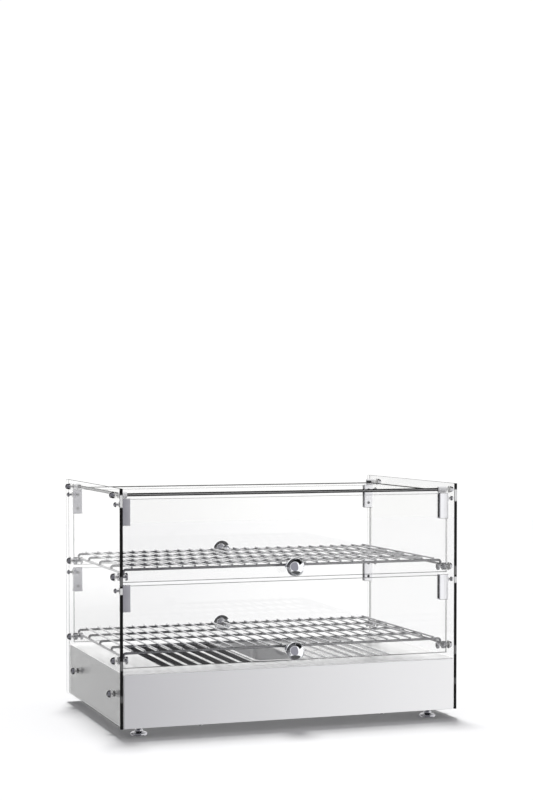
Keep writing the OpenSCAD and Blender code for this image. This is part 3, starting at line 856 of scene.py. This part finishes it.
# a panel folded inwards along its top and bottom edges
def foldedPanel(name, node, outward):
    low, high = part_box(node)
    y = low.y if outward < 0 else high.y
    top = high.z - baseSizes["sheet"]
    clearSelection()
    bpy.ops.mesh.primitive_plane_add(size=1, location=(0, y, (low.z + top) / 2),
                                     rotation=(math.radians(90), 0, 0))
    panel = named(bpy.context.object, name)
    panel.scale = (high.x - low.x, top - low.z, 1)
    applyPlace(panel)
    for height in (top, low.z):
        pick(panel, "EDGE", lambda middle, run: close(middle.z, height) and close(run.z, 0))
        extrude(0, -outward * baseSizes["fold"], 0)
        closeEdit()
    faceOutwards(panel)
    front = next(face for face in panel.data.polygons if abs(face.normal.y) > 0.9)
    if front.normal.y * outward < 0:
        panel.data.flip_normals()
    addModifier(panel, "SOLIDIFY", thickness=baseSizes["sheet"], offset=-1, use_even_offset=True)
    return roundEdges(panel, baseSizes["bend"], segments=4, angle=60)


def makeEndPanels():
    front = smooth(foldedPanel("baseFrontPanel", "base_front_panel", -1))
    dress(front, "frontSteel", "case", ["base_front_panel"])
    rear = foldedPanel("baseRearPanel", "base_rear_panel", 1)
    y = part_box("base_rear_panel")[1].y
    low, high = y - baseSizes["through"], y + baseSizes["through"]
    tools = []
    for node, radius in baseSizes["rearHoles"].items():
        middle = middleOf(node)
        tools.append(bar("hole", (middle.x, low, middle.z), (middle.x, high, middle.z), radius))
    a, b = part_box("switch_body")
    rim = baseSizes["switchRim"]
    tools.append(block("hole", (a.x + rim, low, a.z + rim), (b.x - rim, high, b.z - rim)))
    cutAway(rear, tools)
    dress(smooth(rear), "rearSteel", "case", ["base_rear_panel"])


# a block with half-round ends, centred over the origin
def slotOutline(name, wide, long, low, high):
    clearSelection()
    bpy.ops.mesh.primitive_cylinder_add(vertices=32, radius=wide / 2, depth=high - low,
                                        location=(0, 0, (low + high) / 2))
    piece = named(bpy.context.object, name)
    applyPlace(piece)
    for end in (-1, 1):
        pick(piece, "VERT", lambda co, normal: co.y * end > wide / 200)
        bpy.ops.transform.translate(value=(0, end * (long - wide) / 2, 0))
        closeEdit()
    return piece


# short walls turned down round the slots: near black on the left as painted shade, pale on the right as
# painted light
def makeSlotLips():
    spare = deckSizes["lipSpare"]
    top = deckHigh.z
    lip = slotOutline("lip", deckSizes["wide"] + spare, deckSizes["long"] + spare,
                      top - baseSizes["sheet"] - deckSizes["lip"], top - deckSizes["lipTop"])
    pick(lip, "FACE", lambda middle, normal: abs(normal.z) > 0.9)
    bpy.ops.mesh.delete(type="FACE")
    closeEdit()
    addModifier(lip, "SOLIDIFY", thickness=deckSizes["lipSheet"], offset=1)
    for name, side, finish in (("slotLipsLeft", -1, "bluedSteel"), ("slotLipsRight", 1, "paleSteel")):
        lips = [copyOf(lip, "lip", moved(x, 0, 0)) for x in slotPlaces if x * side > 0]
        dress(smooth(join(name, lips)), finish, "case", ["deck_plate"])
    bpy.data.objects.remove(lip)


# a pale sheet under the right-hand slots, added so that they show bright: painted light
def makePaintedLightSheet():
    start = slotPlaces[-deckSizes["slots"]] - deckSizes["wide"] / 2 - deckSizes["spareX"]
    end = slotPlaces[-1] + deckSizes["wide"] / 2 + deckSizes["spareX"]
    reach = deckSizes["long"] / 2 + deckSizes["spareY"]
    top = deckHigh.z - baseSizes["sheet"] - deckSizes["shallow"]
    sheet = block("reflector", (start, -reach, top - mm), (end, reach, top))
    roundEdges(sheet, 0.3 * mm)
    dress(smooth(sheet), "paleSteel", "case", ())


def makeDeck():
    sheet = baseSizes["sheet"]
    inset = deckSizes["trayHole"]
    half, top = sideHigh.y, deckHigh.z
    plate = block("deckPlate", (deckLow.x - sheet, -half, top - sheet), (deckHigh.x + sheet, half, top))
    trayLow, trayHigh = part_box("water_tray")
    tools = [block("trayHole", (trayLow.x + inset, trayLow.y + inset, top - 5 * sheet),
                   (trayHigh.x - inset, trayHigh.y - inset, top + sheet))]
    slot = slotOutline("slot", deckSizes["wide"], deckSizes["long"], top - 5 * sheet, top + sheet)
    tools += [copyOf(slot, "slot", moved(x, 0, 0)) for x in slotPlaces]
    bpy.data.objects.remove(slot)
    cutAway(plate, tools)
    roundEdges(plate, deckSizes["edge"], segments=3, angle=50)
    dress(smooth(plate), "deckSteel", "case", ["deck_plate"])


def makeSideWalls():
    for side, sign in (("left", -1), ("right", 1)):
        node = "base_" + side + "_wall"
        low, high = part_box(node)
        outer = sign * max(abs(low.x), abs(high.x))
        inner = outer - sign * baseSizes["sheet"]
        wall = block("baseWall" + side.title(), (min(inner, outer), low.y, low.z),
                     (max(inner, outer), high.y, deckHigh.z - baseSizes["sheet"]))
        holes = [bar("hole", (inner - 3 * mm, end * baseMid.y, baseMid.z),
                     (outer + 3 * mm, end * baseMid.y, baseMid.z), baseSizes["wallHole"], sides=24)
                 for end in (-1, 1)]
        cutAway(wall, holes)
        roundEdges(wall, baseSizes["wallEdge"])
        dress(smooth(wall), "sideSteel", "case", [node])


traySizes = {
    "rim": 6 * mm,
    "corner": 9 * mm,
    "floorBend": 5 * mm,
    "rimBend": 1.6 * mm,
    "sheet": 0.7 * mm,
}


# deep-drawn tray with a flat rim and a rolled edge
def makeTray():
    low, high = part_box("water_tray")
    rim = traySizes["rim"]
    middle = (low + high) / 2
    inner = (high - low) / 2 - Vector((rim, rim, 0))
    tray = block("waterTray", low, high)
    pick(tray, "FACE", lambda middle, normal: normal.z > 0.9)
    bpy.ops.mesh.delete(type="FACE")
    closeEdit()
    for vertex in tray.data.vertices:
        vertex.co.x -= math.copysign(rim, vertex.co.x)
        vertex.co.y -= math.copysign(rim, vertex.co.y)
    pick(tray, "EDGE", lambda middle, run: abs(run.z) > mm)
    bpy.ops.mesh.bevel(offset=traySizes["corner"], segments=6, affect="EDGES")
    closeEdit()
    pick(tray, "EDGE", lambda middle, run: close(middle.z, low.z))
    bpy.ops.mesh.bevel(offset=traySizes["floorBend"], segments=5, affect="EDGES")
    closeEdit()
    pick(tray, "EDGE", lambda middle, run: close(middle.z, high.z) and close(run.z, 0))
    bpy.ops.mesh.extrude_region_move()
    bpy.ops.transform.resize(value=(1 + rim / inner.x, 1 + rim / inner.y, 1),
                             center_override=(middle.x, middle.y, high.z))
    extrude(0, 0, -traySizes["sheet"])
    closeEdit()
    pick(tray, "EDGE", lambda middle, run: close(middle.z, high.z) and close(run.z, 0)
         and max(abs(middle.x) / inner.x, abs(middle.y) / inner.y) < 1.02)
    bpy.ops.mesh.bevel(offset=traySizes["rimBend"], segments=3, affect="EDGES")
    closeEdit()
    addModifier(tray, "SOLIDIFY", thickness=traySizes["sheet"], offset=-1)
    dress(smooth(tray), "traySteel", "water_tray", ["water_tray"])


makeEndPanels()
makeSideWalls()
makeDeck()
makeSlotLips()
makePaintedLightSheet()
makeTray()
print("steel base made")


# wire shelves

rackSizes = {
    "rod": 2.0 * mm,          # radius of the long wires
    "cross": 1.5 * mm,        # radius of the cross wires
    "bend": 4.0 * mm,
    "rodCount": 5,
    "crossCount": 26,
    "crossPitch": 20 * mm,
    "sink": 0.4 * mm,
    "overhang": 2.5 * mm,
}


# a long wire bent down at both ends on to the side wires
def bentRod(side, rodZ, sideZ, y):
    bend = rackSizes["bend"]
    clearSelection()
    bpy.ops.mesh.primitive_circle_add(vertices=14, radius=rackSizes["rod"], location=(-side, y, sideZ))
    rod = named(bpy.context.object, "rod")
    applyPlace(rod)
    bpy.ops.object.mode_set(mode="EDIT")
    bpy.ops.mesh.select_all(action="SELECT")

    def quarterTurn(x):
        bpy.ops.mesh.spin(steps=6, angle=fullTurn / 4, center=(x, y, rodZ - bend), axis=(0, -1, 0))

    extrude(0, 0, rodZ - bend - sideZ)
    quarterTurn(-side + bend)
    extrude(2 * (side - bend), 0, 0)
    quarterTurn(side - bend)
    extrude(0, 0, sideZ - rodZ + bend)
    bpy.ops.mesh.select_all(action="SELECT")
    bpy.ops.mesh.remove_doubles(threshold=mm / 1000)
    closeEdit()
    for end in (-1, 1):
        pick(rod, "VERT", lambda co, normal: co.x * end > 0 and close(co.z, sideZ))
        bpy.ops.mesh.edge_face_add()
        closeEdit()
    faceOutwards(rod)
    return rod


def roundedWire(name, start, end, radius, sides=12):
    return roundEdges(bar(name, start, end, radius, sides=sides), radius * 0.45, angle=60)


def makeRack(node):
    low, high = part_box(node)
    rod, cross, pitch = rackSizes["rod"], rackSizes["cross"], rackSizes["crossPitch"]
    side = high.x - rod
    sideZ = low.z + rod
    crossZ = high.z - cross
    rodZ = crossZ - cross - rod + rackSizes["sink"]
    endY = high.y - rackSizes["overhang"]
    gaps = rackSizes["rodCount"] - 1
    rods = repeated(bentRod(side, rodZ, sideZ, -endY), gaps + 1, (0, 2 * endY / gaps, 0))
    startX = -(rackSizes["crossCount"] - 1) / 2 * pitch
    wire = roundedWire("cross", (startX, low.y, crossZ), (startX, high.y, crossZ), cross)
    wires = named(repeated(wire, rackSizes["crossCount"], (pitch, 0, 0)), pieceName(node) + "Cross")
    sides = [roundedWire("side", (x, low.y, sideZ), (x, high.y, sideZ), rod, 14)
             for x in (-side, side)]
    rods = join(pieceName(node) + "Rods", [rods] + sides)
    # the long rods take the darker copy of the wire chrome: painted shade
    dress(smooth(rods, 50), "rodChrome", node, [node])
    dress(smooth(wires, 50), "wireChrome", node, [node])


for node in ("upper_rack", "lower_rack"):
    makeRack(node)
print("wire shelves made")


# door fittings

knobSizes = {
    "ball": 14.25 * mm,
    "neck": 5 * mm,
    "foot": 7.5 * mm,
    "footThick": 2 * mm,
    "reach": 26 * mm,
    "steps": 22,
}
clipSizes = {
    "wide": 16 * mm,
    "round": 1.1 * mm,
    "glass": 5 * mm,
    "screwStep": 11.5 * mm,
    "screw": 2.5 * mm,
    "pivotHole": 2.55 * mm,
    "pivotDeep": 10.5 * mm,
}
setScrewSizes = {
    "sunk": 0.2 * mm,         # below the face of the clip
    "long": 1.8 * mm,
    "slack": 0.05 * mm,
    "key": 2.9 * mm,
    "keyDeep": 1.2 * mm,
}
knobScrewSizes = {
    "tall": 2.4 * mm,
    "slotHalf": (3 * mm, 0.5 * mm),
    "slotDeep": 0.9 * mm,
    "shank": 2 * mm,
    "long": 24 * mm,
}


def makeKnob(door):
    node, low, high, outward, innerY = doorPart(door, "knob")
    ball, neck, reach = knobSizes["ball"], knobSizes["neck"], knobSizes["reach"]
    foot, thick, steps = knobSizes["foot"], knobSizes["footThick"], knobSizes["steps"]
    start = math.asin(neck / ball)
    angles = [start + (math.pi - start) * i / steps for i in range(steps)]
    profile = [(0, 0), (foot, 0, 0.5 * mm), (foot, thick, 0.9 * mm), (neck, thick + 0.4 * mm, 1.2 * mm)]
    profile += [(ball * math.sin(angle), reach - ball * math.cos(angle)) for angle in angles]
    profile += [(0, reach + ball)]
    knob = turned(pieceName(node), profile, (0, innerY, (low.z + high.z) / 2), (0, outward, 0), steps=48)
    dress(knob, "chrome", door, [node])


def makeClips(door):
    node, low, high, outward, face = doorPart(door, "clips")
    middle = (low + high) / 2
    pivot = hinges[door]
    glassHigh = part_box(door.replace("_door", "_glass"))[1]
    front, back = middle.y - clipSizes["glass"] / 2, middle.y + clipSizes["glass"] / 2
    notchX = glassHigh.x - glassSizes["notchWide"]
    notchZ = pivot.z - glassSizes["notchDrop"]
    clip = block("clip", (high.x - clipSizes["wide"], low.y, low.z), high)
    roundEdges(clip, clipSizes["round"], segments=3)
    tools = [fused(block("slot", (low.x, front, low.z - mm), (notchX, back, glassHigh.z)),
                   block("slot", (notchX - mm, front, low.z - mm), (glassHigh.x, back, notchZ)))]
    x = high.x - clipSizes["wide"] / 2
    for step in (-1, 1):
        z = middle.z + step * clipSizes["screwStep"]
        tools.append(bar("hole", (x, face + outward * 2 * mm, z), (x, face - outward * mm, z),
                         clipSizes["screw"], sides=28))
    tools.append(bar("hole", (high.x - clipSizes["pivotDeep"], pivot.y, pivot.z),
                     (high.x + mm, pivot.y, pivot.z), clipSizes["pivotHole"], sides=28))
    for tool in tools:
        cutAway(clip, [tool])
    dress(repeatAcross(pieceName(node), smooth(clip), [mirrorX]), "satin", door, [node])


# one solid from two blocks that overlap
def fused(first, second):
    addModifier(first, "BOOLEAN", operation="UNION", solver="EXACT", object=second)
    bpy.data.objects.remove(second)
    return first


# hexagon socket sunk in a round face
def hexSocket(piece, centre, outward, key, depth):
    centre, outward = Vector(centre), Vector(outward)
    return cutAway(piece, [bar("socket", centre - outward * depth, centre + outward * mm, key / 2, sides=6)])


def makeSetScrews(door):
    node, low, high, outward = doorPart(door, "set_screws")[:4]
    clipLow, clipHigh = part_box(door.replace("_door", "_clips"))
    radius, long = clipSizes["screw"], setScrewSizes["long"]
    face = (clipHigh.y if outward < 0 else clipLow.y) + outward * setScrewSizes["sunk"]
    x = clipHigh.x - clipSizes["wide"] / 2
    screws = []
    for z in (low.z + radius, high.z - radius):
        screw = bar("screw", (x, face + outward * long, z), (x, face, z), radius - setScrewSizes["slack"])
        roundEdges(screw, 0.3 * mm)
        screws.append(hexSocket(screw, (x, face, z), (0, -outward, 0),
                                setScrewSizes["key"], setScrewSizes["keyDeep"]))
    piece = repeatAcross(pieceName(node), smooth(join("screws", screws)), [mirrorX])
    dress(piece, "darkScrew", door, [node])


# a round head with a washer under it and a cross recess
def makeKnobScrew(door):
    node, low, high, outward, innerY = doorPart(door, "knob_screw")
    z = (low.z + high.z) / 2
    start = innerY + outward * knobScrewSizes["tall"]
    profile = inMm((0, 0), (6, 0), (6, 0.8, 0.2), (4.5, 0.8), (4.5, 1.8, 0.5), (2.6, 2.4, 0.5), (0, 2.4))
    screw = turned("screw", profile, (0, start, z), (0, -outward, 0), steps=36)
    deep = innerY + outward * knobScrewSizes["slotDeep"]
    near, far = min(innerY, deep) - mm / 100, max(innerY, deep) + mm / 100
    wide, thin = knobScrewSizes["slotHalf"]
    cutAway(screw, [fused(block("slot", (-wide, near, z - thin), (wide, far, z + thin)),
                          block("slot", (-thin, near, z - wide), (thin, far, z + wide)))])
    shank = bar("shank", (0, start + outward * knobScrewSizes["long"], z), (0, start, z),
                knobScrewSizes["shank"], sides=20)
    dress(smooth(join(pieceName(node), [screw, shank])), "chrome", door, [node])


for door in doors:
    makeKnob(door)
    makeClips(door)
    makeSetScrews(door)
    makeKnobScrew(door)
print("door fittings made")


# screws and pins through the side glasses

fixingSizes = {
    "washer": 0.8 * mm,
    "shank": 1.5 * mm,
    "sleeve": 0.18 * mm,      # nylon round a shank, inside the hole
    "topWasher": 5.5 * mm,
    "wideWasher": 6.5 * mm,
    "hingeWasher": 4.5 * mm,
    "hingeGap": 0.6 * mm,
    "spacer": 4.5 * mm,
    "nut": 4.6 * mm,
}
headSizes = {   # radius, height and key in millimetres
    "top": (5, 7, 4.6),
    "base": (5.8, 5, 5),
    "pin": (5.6, 5.2, 5),
}


# button head outside the right-hand glass, with its hexagon socket
def buttonHead(kind, y, z, insideX):
    radius, tall, key = (value * mm for value in headSizes[kind])
    faceX = sideHigh.x + fixingSizes["washer"]
    profile = [(0, 0), (radius, 0, 0.3 * mm), (radius, tall * 0.35, tall * 0.3),
               (radius * 0.78, tall * 0.88, tall * 0.3), (radius * 0.5, tall, 0.2 * mm), (0, tall)]
    head = turned("head", profile, (faceX, y, z), (1, 0, 0))
    hexSocket(head, (faceX + tall, y, z), (1, 0, 0), key, tall * 0.55)
    shank = bar("shank", (insideX, y, z), (faceX, y, z), fixingSizes["shank"], sides=20)
    return smooth(join("bolt", [head, shank]))


def makeOutsideBolts():
    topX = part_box("top_glass")[1].x + 2 * mm
    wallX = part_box("base_right_wall")[1].x
    top = repeatAcross("topBolts", buttonHead("top", topMid.y, topMid.z, topX))
    dress(top, "screwChrome", "case", ["top_bolts"])
    bolt = buttonHead("base", baseMid.y, baseMid.z, wallX - 8 * mm)
    nut = bar("nut", (wallX - 5.2 * mm, baseMid.y, baseMid.z), (wallX - 1.2 * mm, baseMid.y, baseMid.z),
              fixingSizes["nut"], sides=6)
    roundEdges(nut, 0.4 * mm, segments=1)
    base = repeatAcross("baseBolts", join("bolt", [bolt, nut]))
    dress(base, "screwChrome", "case", ["base_bolts"])
    screws = [buttonHead("pin", pinY, z, sideLow.x - 5 * mm) for z in pinHeights]
    pins = repeatAcross("shelfPinScrews", join("screws", screws))
    dress(pins, "screwChrome", "case", ["shelf_pin_screws"])


def ring(y, z, x0, x1, radius, bore):
    profile = [(bore, 0), (radius, 0, 0.15 * mm), (radius, x1 - x0, 0.25 * mm), (bore, x1 - x0), (bore, 0)]
    return turned("ring", profile, (x0, y, z), (1, 0, 0), steps=32)


def makeWashers():
    x0, x1 = sideHigh.x, sideHigh.x + fixingSizes["washer"]
    bore, wide = fixingSizes["shank"], fixingSizes["wideWasher"]
    spots = [(topMid.y, topMid.z, fixingSizes["topWasher"]), (baseMid.y, baseMid.z, wide)]
    spots += [(pinY, z, wide) for z in pinHeights]
    rings = [ring(y, z, x0, x1, radius, bore) for y, z, radius in spots]
    rings += [ring(p.y, p.z, sideLow.x - fixingSizes["hingeGap"], sideLow.x,
                   fixingSizes["hingeWasher"], bore) for p in rearPivots]
    rings += [ring(y, z, sideLow.x, x0, bore + fixingSizes["sleeve"], bore) for y, z, radius in spots]
    dress(repeatAcross("glassWashers", join("rings", rings)), "nylon", "case", ["glass_washers"])
    spacer = ring(baseMid.y, baseMid.z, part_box("base_right_wall")[1].x, sideLow.x,
                  fixingSizes["spacer"], baseSizes["wallHole"])
    dress(repeatAcross("sideSpacers", spacer), "rubber", "case", ["side_spacers"])


def makePivots():
    profile = inMm((0, 0), (3.75, 0, 0.2), (3.75, 1.8, 1.2), (2.2, 3.5, 0.8), (0, 3.5))
    heads = []
    for p in rearPivots:
        head = turned("head", profile, (sideHigh.x, p.y, p.z), (1, 0, 0), steps=32)
        hexSocket(head, (sideHigh.x + 3.5 * mm, p.y, p.z), (1, 0, 0), 2.9 * mm, 1.8 * mm)
        shank = bar("shank", (sideLow.x - 11 * mm, p.y, p.z), (sideHigh.x, p.y, p.z),
                    fixingSizes["shank"], sides=24)
        heads += [head, roundEdges(shank, 0.3 * mm, segments=1)]
    screws = repeatAcross("hingePivots", smooth(join("heads", heads)))
    dress(screws, "screwChrome", "case", ["hinge_pivots"])


pinSizes = {   # in millimetres
    "neck": 2.2,
    "grooveStart": 6,
    "grooveEnd": 12,
    "long": 15,
    "knurls": 18,
    "knurlEdge": 0.9,
    "knurl": 0.5,
    "key": 5,
    "keyDeep": 2.5,
}


# knurled standoff with a groove for the side wire of a shelf and a socket in its end
def makeShelfPins():
    radius, neck, long = pinRadius / mm, pinSizes["neck"], pinSizes["long"]
    start, end, edge = pinSizes["grooveStart"], pinSizes["grooveEnd"], pinSizes["knurlEdge"]
    profile = inMm((0, 0), (radius, 0, 0.4), (radius, start, 0.7), (neck, start, 0.6), (neck, end, 0.6),
                   (radius, end, 0.5), (radius, long, edge), (0, long))
    pins = []
    for z in pinHeights:
        pin = turned("pin", profile, (sideLow.x, pinY, z), (-1, 0, 0), steps=48)
        near, far = sideLow.x - edge * mm, sideLow.x - (start - edge) * mm
        cutAway(pin, [bar("groove", (far, a, b), (near, a, b), pinSizes["knurl"] * mm, sides=6)
                      for a, b in around(pinY, z, pinRadius * 1.03, pinSizes["knurls"])])
        hexSocket(pin, (sideLow.x - long * mm, pinY, z), (-1, 0, 0),
                  pinSizes["key"] * mm, pinSizes["keyDeep"] * mm)
        pins.append(pin)
    piece = repeatAcross("shelfPins", smooth(join("pins", pins), 25))
    dress(piece, "screwChrome", "case", ["shelf_pins"])


# slotted bosses that hold the corners of the top glass
def makeTopFittings():
    topLow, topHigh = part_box("top_glass")
    long = 14
    profile = inMm((0, 0), (5, 0, 0.3), (5, long, 0.9), (0, long))
    boss = turned("boss", profile, (sideLow.x, topMid.y, topMid.z), (-1, 0, 0))
    cutAway(boss, [block("slot", (sideLow.x - (long + 1) * mm, topMid.y - 9 * mm, topLow.z), topHigh)])
    bosses = repeatAcross("topFittings", smooth(boss))
    # the bosses take the pale non-metal steel instead of satin, so they show white: painted light
    dress(bosses, "paleSteel", "case", ["top_fittings"])


makeOutsideBolts()
makeWashers()
makePivots()
makeShelfPins()
makeTopFittings()
print("glass fixings made")


# feet

footSizes = {   # in millimetres
    "disc": 12.5,
    "neck": 6.0,
    "crest": 3.9,
    "root": 3.4,
    "threadStart": 9.0,
    "pitch": 1.25,
    "threads": 24,
    "tall": 40,
    "nut": 7.5,
    "nutBore": 4.05,
    "lockNut": 4,
    "weldNut": 8,
}


def makeFeet():
    disc, neck, start = footSizes["disc"], footSizes["neck"], footSizes["threadStart"]
    crest, root, tall = footSizes["crest"], footSizes["root"], footSizes["tall"]
    profile = inMm((0, 0), (11.3, 0, 0.5), (disc, 1.2, 0.8), (disc, 3.6, 1.0), (8.0, 5.4, 1.5),
                   (neck, 6.4, 0.5), (neck, 8.6, 0.4), (crest, start))
    for i in range(footSizes["threads"]):
        foot = start + footSizes["pitch"] * i
        profile += inMm((crest, foot + 0.1), (root, foot + 0.7))
    profile += inMm((root, tall - 0.4), (0, tall))
    for place in ("front_left", "front_right", "rear_left", "rear_right"):
        node = "foot_" + place
        middle = middleOf(node)
        foot = turned(pieceName(node), profile, (middle.x, middle.y, 0), (0, 0, 1))
        dress(foot, "screwChrome", node, [node])


def makeFootNuts():
    low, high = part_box("foot_nuts")
    x, y = middleOf("foot_rear_right").xy
    nuts = []
    for z0, z1 in ((low.z, low.z + footSizes["lockNut"] * mm), (high.z - footSizes["weldNut"] * mm, high.z)):
        nut = bar("nut", (x, y, z0), (x, y, z1), footSizes["nut"] * mm, sides=6)
        cutAway(nut, [bar("bore", (x, y, z0 - mm), (x, y, z1 + mm), footSizes["nutBore"] * mm)])
        nuts.append(roundEdges(nut, 0.5 * mm))
    piece = repeatAcross("footNuts", smooth(join("nuts", nuts)))
    dress(piece, "screwChrome", "case", ["foot_nuts"])


makeFeet()
makeFootNuts()
print("feet made")


# controls at the rear

dialSizes = {
    "grips": 20,
    "gripRing": 14.4 * mm,
    "grip": 1.1 * mm,
    "pointer": 0.8 * mm,
    "pointerDeep": 0.7 * mm,
    "skirt": 17 * mm,
}
dialScale = {
    "steps": 10,
    "start": math.radians(225),
    "sweep": math.radians(270),
    "radius": 18.6 * mm,
    "tick": 2.2 * mm,
    "letters": 4.6 * mm,
}
switchSizes = {
    "edge": 0.8 * mm,
    "pocketWide": 6.6 * mm,
    "pocketTall": 12 * mm,
    "pocketDeep": 9 * mm,
}
glandSizes = {
    "nut": 12 * mm,
    "nutBore": 7.7 * mm,
    "nutThick": 5 * mm,
    "ribs": 12,
    "ribRing": 9.0 * mm,
    "rib": 0.9 * mm,
}
rearFace = sideHigh.y


# where a rear fitting starts, and how many millimetres it is to the rear face and to its tip
def rearFitting(node):
    low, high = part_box(node)
    middle = (low + high) / 2
    return Vector((middle.x, low.y, middle.z)), (rearFace - low.y) / mm, (high.y - low.y) / mm


def makeDial():
    place, face, tip = rearFitting("thermostat_knob")
    pos = hinges["thermostat_knob"]
    high = place.y + tip * mm
    profile = inMm((0, 0), (3, 0), (3, face + 1), (17, face + 1, 0.4), (17, face + 4, 0.8),
                   (14, face + 4.4, 0.5), (12.5, tip, 1.2), (0, tip))
    dial = turned("thermostatKnob", profile, (pos.x, place.y, pos.z), (0, 1, 0), steps=60)
    cutAway(dial, [bar("grip", (x, rearFace + 5 * mm, z), (x, high + mm, z), dialSizes["grip"], sides=10)
                   for x, z in around(pos.x, pos.z, dialSizes["gripRing"], dialSizes["grips"])])
    half = dialSizes["pointer"]
    cutAway(dial, [block("pointer", (pos.x - half, high - dialSizes["pointerDeep"], pos.z + 2 * mm),
                         (pos.x + half, high + mm, pos.z + dialSizes["skirt"]))])
    dress(smooth(dial), "black", "thermostat_knob", ["thermostat_knob"])


def flatNumber(text, place):
    clearSelection()
    bpy.ops.object.text_add(location=place, rotation=(math.radians(90), 0, math.radians(180)))
    label = bpy.context.object.data
    label.body = text
    label.size = dialScale["letters"]
    label.align_x = "CENTER"
    label.align_y = "CENTER"
    label.extrude = 0.12 * mm
    bpy.ops.object.convert(target="MESH")
    piece = bpy.context.object
    applyPlace(piece)
    return piece


# scale printed round the dial: ticks and plain numbers
def makeDialScale():
    pos = hinges["thermostat_knob"].copy()
    pos.y = rearFace - 0.1 * mm
    near = dialScale["radius"]
    far = near + dialScale["tick"]
    reach = far + dialScale["letters"] * 0.75
    marks = []
    for i in range(dialScale["steps"] + 1):
        angle = dialScale["start"] - dialScale["sweep"] * i / dialScale["steps"]
        tick = block("tick", (near, -0.15 * mm, -0.3 * mm), (far, 0.15 * mm, 0.3 * mm))
        tick.data.transform(Matrix.Translation(pos) @ Matrix.Rotation(angle - math.pi, 4, "Y"))
        marks.append(tick)
        if i % 2 == 0:
            outward = Vector((-math.cos(angle), 0, math.sin(angle)))
            marks.append(flatNumber(str(i // 2), pos + outward * reach))
    dress(join("dialScale", marks), "ink", "case", ())


def makeSwitch():
    low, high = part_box("switch_body")
    middle = (low + high) / 2
    rim, wide, tall = baseSizes["switchRim"], switchSizes["pocketWide"], switchSizes["pocketTall"]
    bezel = block("switchBody", (low.x, rearFace, low.z), high)
    roundEdges(bezel, switchSizes["edge"], segments=3)
    fused(bezel, block("body", (low.x + rim, low.y, low.z + rim),
                       (high.x - rim, rearFace + 0.5 * mm, high.z - rim)))
    cutAway(bezel, [block("pocket",
                          (middle.x - wide, rearFace - switchSizes["pocketDeep"], middle.z - tall),
                          (middle.x + wide, rearFace + 4 * mm, middle.z + tall))])
    dress(smooth(bezel), "black", "case", ["switch_body"])


def makeLamp():
    place, face = rearFitting("pilot_lamp")[:2]
    profile = inMm((0, 0), (3.8, 0), (3.8, face), (6, face, 0.2), (6, face + 2, 0.6), (4.5, face + 2),
                   (4.3, face + 3.5, 0.6), (2.5, face + 6, 1.4), (0, face + 6))
    lamp = turned("pilotLamp", profile, place, (0, 1, 0), steps=36)
    dress(lamp, "lens", "case", ["pilot_lamp"])


def makeGland():
    place, face, tip = rearFitting("cable_gland")
    x, z = place.x, place.z
    thick = glandSizes["nutThick"]
    profile = inMm((4.5, 0), (7.8, 0, 0.3), (7.8, face + 4), (9.5, face + 5), (9.3, face + 9, 1.5),
                   (7.2, tip, 1.2), (4.5, tip, 0.5), (4.5, 0))
    parts = [turned("cableGland", profile, place, (0, 1, 0), steps=48)]
    for y0 in (rearFace, rearFace - thick - 1.2 * mm):   # outside and inside the panel
        nut = bar("nut", (x, y0, z), (x, y0 + thick, z), glandSizes["nut"], sides=6)
        cutAway(nut, [bar("bore", (x, y0 - mm, z), (x, y0 + thick + mm, z), glandSizes["nutBore"])])
        parts.append(roundEdges(nut, 0.6 * mm))
    parts += [bar("rib", (a, rearFace + 5 * mm, b), (a, rearFace + 9 * mm, b), glandSizes["rib"], sides=10)
              for a, b in around(x, z, glandSizes["ribRing"], glandSizes["ribs"])]
    dress(smooth(join("cableGland", parts)), "black", "case", ["cable_gland"])


makeDial()
makeDialScale()
makeSwitch()
makeLamp()
makeGland()
print("rear controls made")


# nodes whose shape is already right

kept = {
    "bottom_cover": "frontSteel",
    "bottom_cover_screws": "chrome",
    # the left pan dark and the right one pale: painted shade and painted light
    "heat_pan_left": "darkPan",
    "heat_pan_right": "paleSteel",
    "heater_left": "heater",
    "heater_right": "heater",
    "heater_brackets": "satin",
    "thermostat_body": "satin",
    "thermostat_bulb": "copper",
    "switch_rocker": "black",
    "terminal_block": "nylon",
    "internal_wires": "sheath",
}
for node, finish in kept.items():
    frame["nodes"][node].data.materials.clear()
    frame["nodes"][node].data.materials.append(finishes[finish])
print("kept nodes dressed:", len(kept))

clearSelection()
